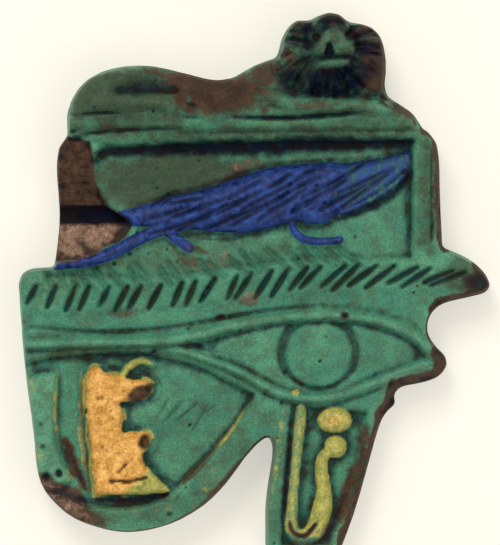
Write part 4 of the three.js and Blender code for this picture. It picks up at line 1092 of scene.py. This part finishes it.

# %% [markdown]
# ## Dark stains, soil and painted shade
# The mane is nearly black, the band under the top frame is dark glaze with painted shade, and dirt has settled in
# pits and round the figure. Painted shade also lies under the lids, in the hollow under the lion's haunch, under the
# crocodile's jaw and belly, under the lion's foreleg and the figure's base, and in the drop's groove by its left rim.
# Those forms are known from the relief, so much of the dark comes from them, and spots and lines give the rest. A
# thinner grey-green soil lies in broad patches over the lion's rump and in the panel, and the same grey-green is
# painted shade along the top frame and under the lid at the top of the cheek.

# %% Stain, soil and painted shade
DARK_SPOTS = [
    (11, 28, 4.2, 2.2, 5, 0.8), (5.6, 27.8, 2, 2.6, 40, 0.7), (6.2, 33, 1.4, 1.6, 0, 0.5),
    (10.8, 36.4, 3.6, 1, 0, 0.5), (14.8, 33, 1.2, 2.8, 10, 0.6), (10.5, 32, 0.5, 0.8, 0, 0.8),
    # The first spot on the next line is painted shade in the hollow under the lion's haunch.
    (-15, 27, 4.8, 1.3, 2, 0.5), (-24.8, 20.1, 1.1, 0.5, 0, 0.7), (-21, -6.7, 0.7, 0.4, 0, 0.5),
    (12.5, -4.4, 0.6, 0.5, 0, 0.7), (-7.7, -8.7, 1, 0.4, 0, 0.6), (-4.7, -4.7, 0.8, 0.4, 15, 0.5),
    (-14, -9.5, 0.8, 0.4, 0, 0.55), (-15.2, -22, 0.9, 1.2, 0, 0.7), (-28.9, -26.7, 0.5, 0.6, 0, 0.5),
    (-14.5, -14.4, 0.9, 0.7, 40, 0.7), (-27.1, -26.3, 0.45, 0.55, 0, 0.65), (-11.8, -31.9, 0.5, 0.3, 20, 0.6),
    (-29.4, -22.6, 0.5, 0.4, 30, 0.6), (-29.6, -19.4, 0.4, 0.4, 0, 0.5), (-24, 9.4, 4.2, 0.9, 0, 0.9),
    (8.2, 33.9, 0.9, 0.6, 40, 0.6), (12.5, 34.2, 0.9, 0.6, -40, 0.6), (31, 0.2, 2.4, 1.5, -10, 0.6),
    (18.3, 24.9, 1.7, 0.7, -20, 0.65), (-5, 26, 7, 3, -10, 0.25), (16.4, 31, 2, 4, 5, 0.4), (-18, 29, 6, 1.6, -5, 0.3),
    # The last spot on the next line is painted shade along the top frame.
    (-19, 26, 9, 4.5, -5, 0.26), (-12, 14.5, 11, 3.4, 8, 0.28), (0, 20.9, 24, 0.8, 1, 0.2)]
DARK_LINES = [
    # Dark glaze with painted shade, in the band under the top frame.
    ([(-22, 18.1), (-10, 18.7), (5, 19.1), (22, 19.6)], 1.3, 0.82),
    # Painted shadow under the crocodile's jaw, over dark blue paint.
    ([(11.2, 8.8), (16, 10.6), (19.4, 12.6), (21.8, 15.4)], 0.75, 0.75), ([(-24, 23.5), (-18.4, 23.5)], 0.1, 0.6),
    # The second band on the next line is painted shade at the foot of the lion's haunch.
    ([(-23, 20.9), (-16, 21.4), (-8, 21.5)], 0.1, 0.6), ([(-19, 26.1), (-15, 26.4), (-11, 26.2)], 0.2, 0.6),
    # Painted shadow under the lion's foreleg and along the crocodile's belly.
    ([(-4, 23), (4, 22.9), (15.4, 23.8)], 0.3, 0.6), ([(-8, 6.3), (-3.5, 6.2), (2.4, 7.6), (5, 8.4)], 0.4, 0.6),
    # The second band on the next line is painted shade in the drop's groove beside its left rim.
    ([(8.2, 31.2), (10.6, 31.1), (13.3, 31.7)], 0.1, 0.7), ([(5, -18), (4.4, -26), (3.7, -33)], 0.35, 0.6),
    # The first band on the next line is a painted shadow under the figure's base.
    ([(-22, -29.8), (-16.5, -30), (-12, -29.2)], 0.4, 0.6), ([(-26, -21.8), (-25, -24.8), (-23.4, -28.6)], 0.4, 0.45),
    ([(-19.2, -16.6), (-17.5, -16.8), (-15.6, -16.4)], 0.2, 0.6),
    ([(-31.6, -13), (-29.6, -12.2), (-27.6, -12)], 0.15, 0.5), ([(-14.6, 8.3), (-10.4, 4.4), (-7.2, 3.1)], 0.25, 0.5),
    ([(24.5, 19), (24.5, 12), (24.6, 6)], 0.2, 0.6), ([(-13, 7), (-18, 4.6), (-24, 2.6)], 0.15, 0.4),
    # Painted shade under the lid, at the top of the cheek.
    ([(-24, -9.6), (-18, -9.8), (-13, -9.6)], 0.6, 0.4)]
SOIL_AND_SHADE_SPOTS = [
    (-19, 26, 10, 5, -5, 0.85), (-12, 14.5, 12, 3.8, 8, 0.95), (30, 1, 4, 2.4, -15, 0.6), (-8, 4, 14, 2, 4, 0.3),
    (10.6, 31.6, 8.5, 7, 0, 0.6), (-5, -26, 6, 2, 50, 0.35), (-15, -31.4, 10, 2, 4, 0.35),
    # The first patch on the next line is painted shade under the lid, at the top of the cheek.
    (-22, -9.8, 10, 1.2, 0, 0.5), (6, 23.5, 22, 2.2, -2, 0.4), (3, -27, 2, 9, 5, 0.3), (-29, 0, 3, 2, 0, 0.25),
    # The second patch on the next line is painted shade along the top frame.
    (24, 13, 1.6, 9, 0, 0.55), (0, 20.8, 26, 1.2, 1, 0.55), (2, 28, 4, 3, 30, 0.7), (-6, -20.5, 5, 8, -35, 0.15)]

dark = np.maximum(patches_of(DARK_SPOTS, 55), bands_of(DARK_LINES, 56))
face_mask = np.maximum(ramp(muzzle_depth + 0.35 * cloud(0.9, 59), -0.5, 0.6), ramp(1.25 - jaw, 0, 0.6))
pale_lock = ramp(1.6 - np.hypot(X - 4.8, (Y - 31) / 1.5), 0, 1.2)
mane_dark = 0.52 + 0.3 * cloud(1.1, 58) + 0.35 * ramp(31 - Y, 0, 2) * ramp(4 - np.abs(X - 11), 0, 2)
mane_dark *= ramp(mane_depth, -0.1, 0.5) * (1 - 0.4 * ramp(X, 14.4, 16)) * (1 - 0.6 * pale_lock)
dark = np.maximum(dark * (1 - 0.8 * face_mask), mane_dark * (1 - 0.7 * face_mask))
around_figure = ramp(figure_depth, -1.6, -1) * ramp(-0.6 - figure_depth, 0, 0.4)
# under_lids is painted shade on the slopes below the lids.
dark = np.maximum.reduce([dark, 0.9 * ramp(1.2 - nose, 0, 0.3), 0.3 * around_figure, 0.42 * iris_ring * in_eye,
                          0.36 * under_lids, 0.55 * pits, 0.5 * nicks])
soil_and_shade = patches_of(SOIL_AND_SHADE_SPOTS, 57)
print("shares of the face: dark", share_of(dark), "soil_and_shade", share_of(soil_and_shade))

# %% [markdown]
# ## Hollows and ridges
# Glaze runs off ridges and gathers in hollows, and the paler mix on ridge crests is also a painted highlight.
# Blender could find those with a pointiness or an occlusion node, but the heights are at hand: a place is a hollow
# where it lies lower than the relief blurred round it, at two sizes.

# %% Find hollows and ridges
lift = np.minimum(Z - softened(Z, 0.9), 1.6 * (Z - softened(Z, 0.45)))
hollow_share = ramp(-lift, 0.05, 0.35) * (1 - 0.75 * olive_rim)
# The raised share is pale thin glaze, and on ridge crests also a painted highlight.
raised_share = np.maximum(0.28 * ramp(lift, 0.08, 0.4), 0.4 * ramp(strip_depth, 0.2, 0.9))
print("hollow share of the face", share_of(hollow_share))

# %% [markdown]
# ## From the plan onto the mesh
# Every field is sampled from the plan grid at the mesh's points and kept as three colour attributes. The edge walls
# and the back lie under the same plan places, so paint is held off them by the way the surface faces: walls on
# the lower right are bare, the back has only loose brown patches, and the hole is dark inside.

# %% Put the colours on the mesh
points = np.empty(len(amulet.data.vertices) * 3)
amulet.data.vertices.foreach_get("co", points)
px, py, pz = points.reshape(-1, 3).T / MM
normals = np.empty(len(amulet.data.vertices) * 3)
amulet.data.vertices.foreach_get("normal", normals)
nx, ny, nz = normals.reshape(-1, 3).T


def on_mesh(field):
    """A grid field at the mesh's points, mixed from the four nearest grid points."""
    table = field.reshape(len(grid_y), len(grid_x))
    u = np.clip((px - grid_x[0]) / STEP, 0, len(grid_x) - 1.001)
    v = np.clip((py - grid_y[0]) / STEP, 0, len(grid_y) - 1.001)
    i, j = u.astype(int), v.astype(int)
    a, b = u - i, v - j
    low = table[j, i] * (1 - a) + table[j, i + 1] * a
    return low * (1 - b) + (table[j + 1, i] * (1 - a) + table[j + 1, i + 1] * a) * b


wall_share = ramp(0.6 - nz, 0, 0.4) * ramp(1.6 - on_mesh(edge), 0, 0.8)
bare_wall = wall_share * ramp(0.75 * nx - 0.65 * ny + 0.3 * cloud(4, 61, px + pz, py - pz), 0, 0.5)
back_share = ramp(-nz, 0.2, 0.6)
in_hole = ramp(HOLE_RADIUS + 0.3 - np.hypot(py - HOLE_Y, pz - HOLE_Z), 0, 0.2)
# The brown field also holds the painted shadow under the figure's base.
bare_core_and_shade = np.maximum.reduce([on_mesh(brown) * (1 - back_share), 0.8 * bare_wall, in_hole,
                          back_share * (0.5 + 0.5 * cloud(7, 62, px, py))])
# worn also carries painted shade in its brown and dark channels; shape carries a painted highlight in its raised
# channel and painted shade in its soil channel.
layers = {"painted": (on_mesh(blue), on_mesh(yellow), on_mesh(olive)),
          "worn": (bare_core_and_shade, np.maximum(on_mesh(dark), 0.7 * in_hole), on_mesh(tan)),
          "shape": (on_mesh(hollow_share), on_mesh(raised_share), on_mesh(soil_and_shade))}
for name, fields in layers.items():
    front_only = 1 - np.maximum(back_share, wall_share * (1 if name == "painted" else 0.7))
    channels = [field if field is bare_core_and_shade else field * front_only for field in fields]
    layer = amulet.data.attributes.new(name, "FLOAT_COLOR", "POINT")
    layer.data.foreach_set("color", np.column_stack([*channels, np.ones(len(px))]).ravel())
print("colour attributes:", ", ".join(layers), "on", len(px), "points")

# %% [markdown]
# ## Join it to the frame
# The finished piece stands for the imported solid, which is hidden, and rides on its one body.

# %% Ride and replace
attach(amulet, "root")
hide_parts("wedjat_amulet")
print("piece:", amulet.name, "for wedjat_amulet")

# %% [markdown]
# ## The floor
# The photograph's ground is almost white and the shadows on it are faint, as on a light table: an opal sheet lit
# from below. A brighter world would wash out the relief as well. A wide sheet with a weak glow of its own gives the
# pale ground and leaves the shading of the amulet to the lamps.

# %% Floor
def opal_sheet():
    """Opal sheet on a light table: matt, faintly cloudy at about 40 mm, and lit a little from below."""
    material = bpy.data.materials.new("opal sheet on a light table")
    material.use_nodes = True
    tree = material.node_tree
    tree.nodes.clear()
    here = add(tree, "ShaderNodeTexCoord").outputs["Object"]
    clouds = add(tree, "ShaderNodeTexNoise", {"Vector": here, "Scale": 1 / (40 * MM), "Detail": 3.0})
    colour = add(tree, "ShaderNodeMix", {0: clouds, 6: linear("B6B2A5"), 7: linear("BCB9AE")}, data_type="RGBA")
    shader = add(tree, "ShaderNodeBsdfPrincipled", {"Base Color": colour, "Roughness": 0.9,
                                                    "Emission Color": linear("FFFBF0"), "Emission Strength": 0.5})
    add(tree, "ShaderNodeOutputMaterial", [shader])
    return material


sheet = bmesh.new()
bmesh.ops.create_grid(sheet, x_segments=8, y_segments=8, size=1.5)
floor_mesh = bpy.data.meshes.new("opal_floor")
sheet.to_mesh(floor_mesh)
sheet.free()
floor = bpy.data.objects.new("opal_floor", floor_mesh)
floor.data.materials.append(opal_sheet())
floor.location.z = -0.02 * MM
bpy.context.scene.collection.objects.link(floor)
print("floor:", [round(v, 2) for v in floor.dimensions], "m")

# %% [markdown]
# ## Light and camera
# One large soft lamp from the top left draws the relief, a weaker one from the right opens its shadows, and a
# grey room fills in. The camera looks straight down from a metre away through a long lens, so that the edge walls
# hardly show and the outline keeps its proportions.

# %% Light and camera
def soft_lamp(name, place, size, power, colour):
    """A square lamp that looks at the amulet."""
    data = bpy.data.lights.new(name, "AREA")
    data.size, data.energy, data.color = size, power, linear(colour)[:3]
    lamp = bpy.data.objects.new(name, data)
    lamp.location = place
    lamp.rotation_euler = (-Vector(place)).to_track_quat("-Z", "Y").to_euler()
    bpy.context.scene.collection.objects.link(lamp)
    return lamp


soft_lamp("key", (-0.4, 1.0, 1.4), 0.7, 15.0, "FFFCF6")
soft_lamp("fill", (0.9, -0.7, 1.3), 1.4, 6.5, "FAFBFF")
world = bpy.data.worlds.new("grey room")
world.use_nodes = True
world.node_tree.nodes["Background"].inputs["Color"].default_value = linear("FFFFFF")
world.node_tree.nodes["Background"].inputs["Strength"].default_value = 0.66
bpy.context.scene.world = world

FRAME_MID, FRAME_HEIGHT, FACE_HEIGHT, CAMERA_HEIGHT = (-0.625, 1.53), 75.73, 4.0, 1000.0
lens = bpy.data.cameras.new("camera")
lens.sensor_fit, lens.sensor_height = "VERTICAL", 24.0
lens.lens = lens.sensor_height * (CAMERA_HEIGHT - FACE_HEIGHT) / FRAME_HEIGHT
lens.clip_end = 10.0
camera = bpy.data.objects.new("camera", lens)
camera.location = (FRAME_MID[0] * MM, FRAME_MID[1] * MM, CAMERA_HEIGHT * MM)
bpy.context.scene.collection.objects.link(camera)
bpy.context.scene.camera = camera
bpy.context.scene.view_settings.view_transform = "Standard"
print("camera:", round(lens.lens, 1), "mm lens, straight down")
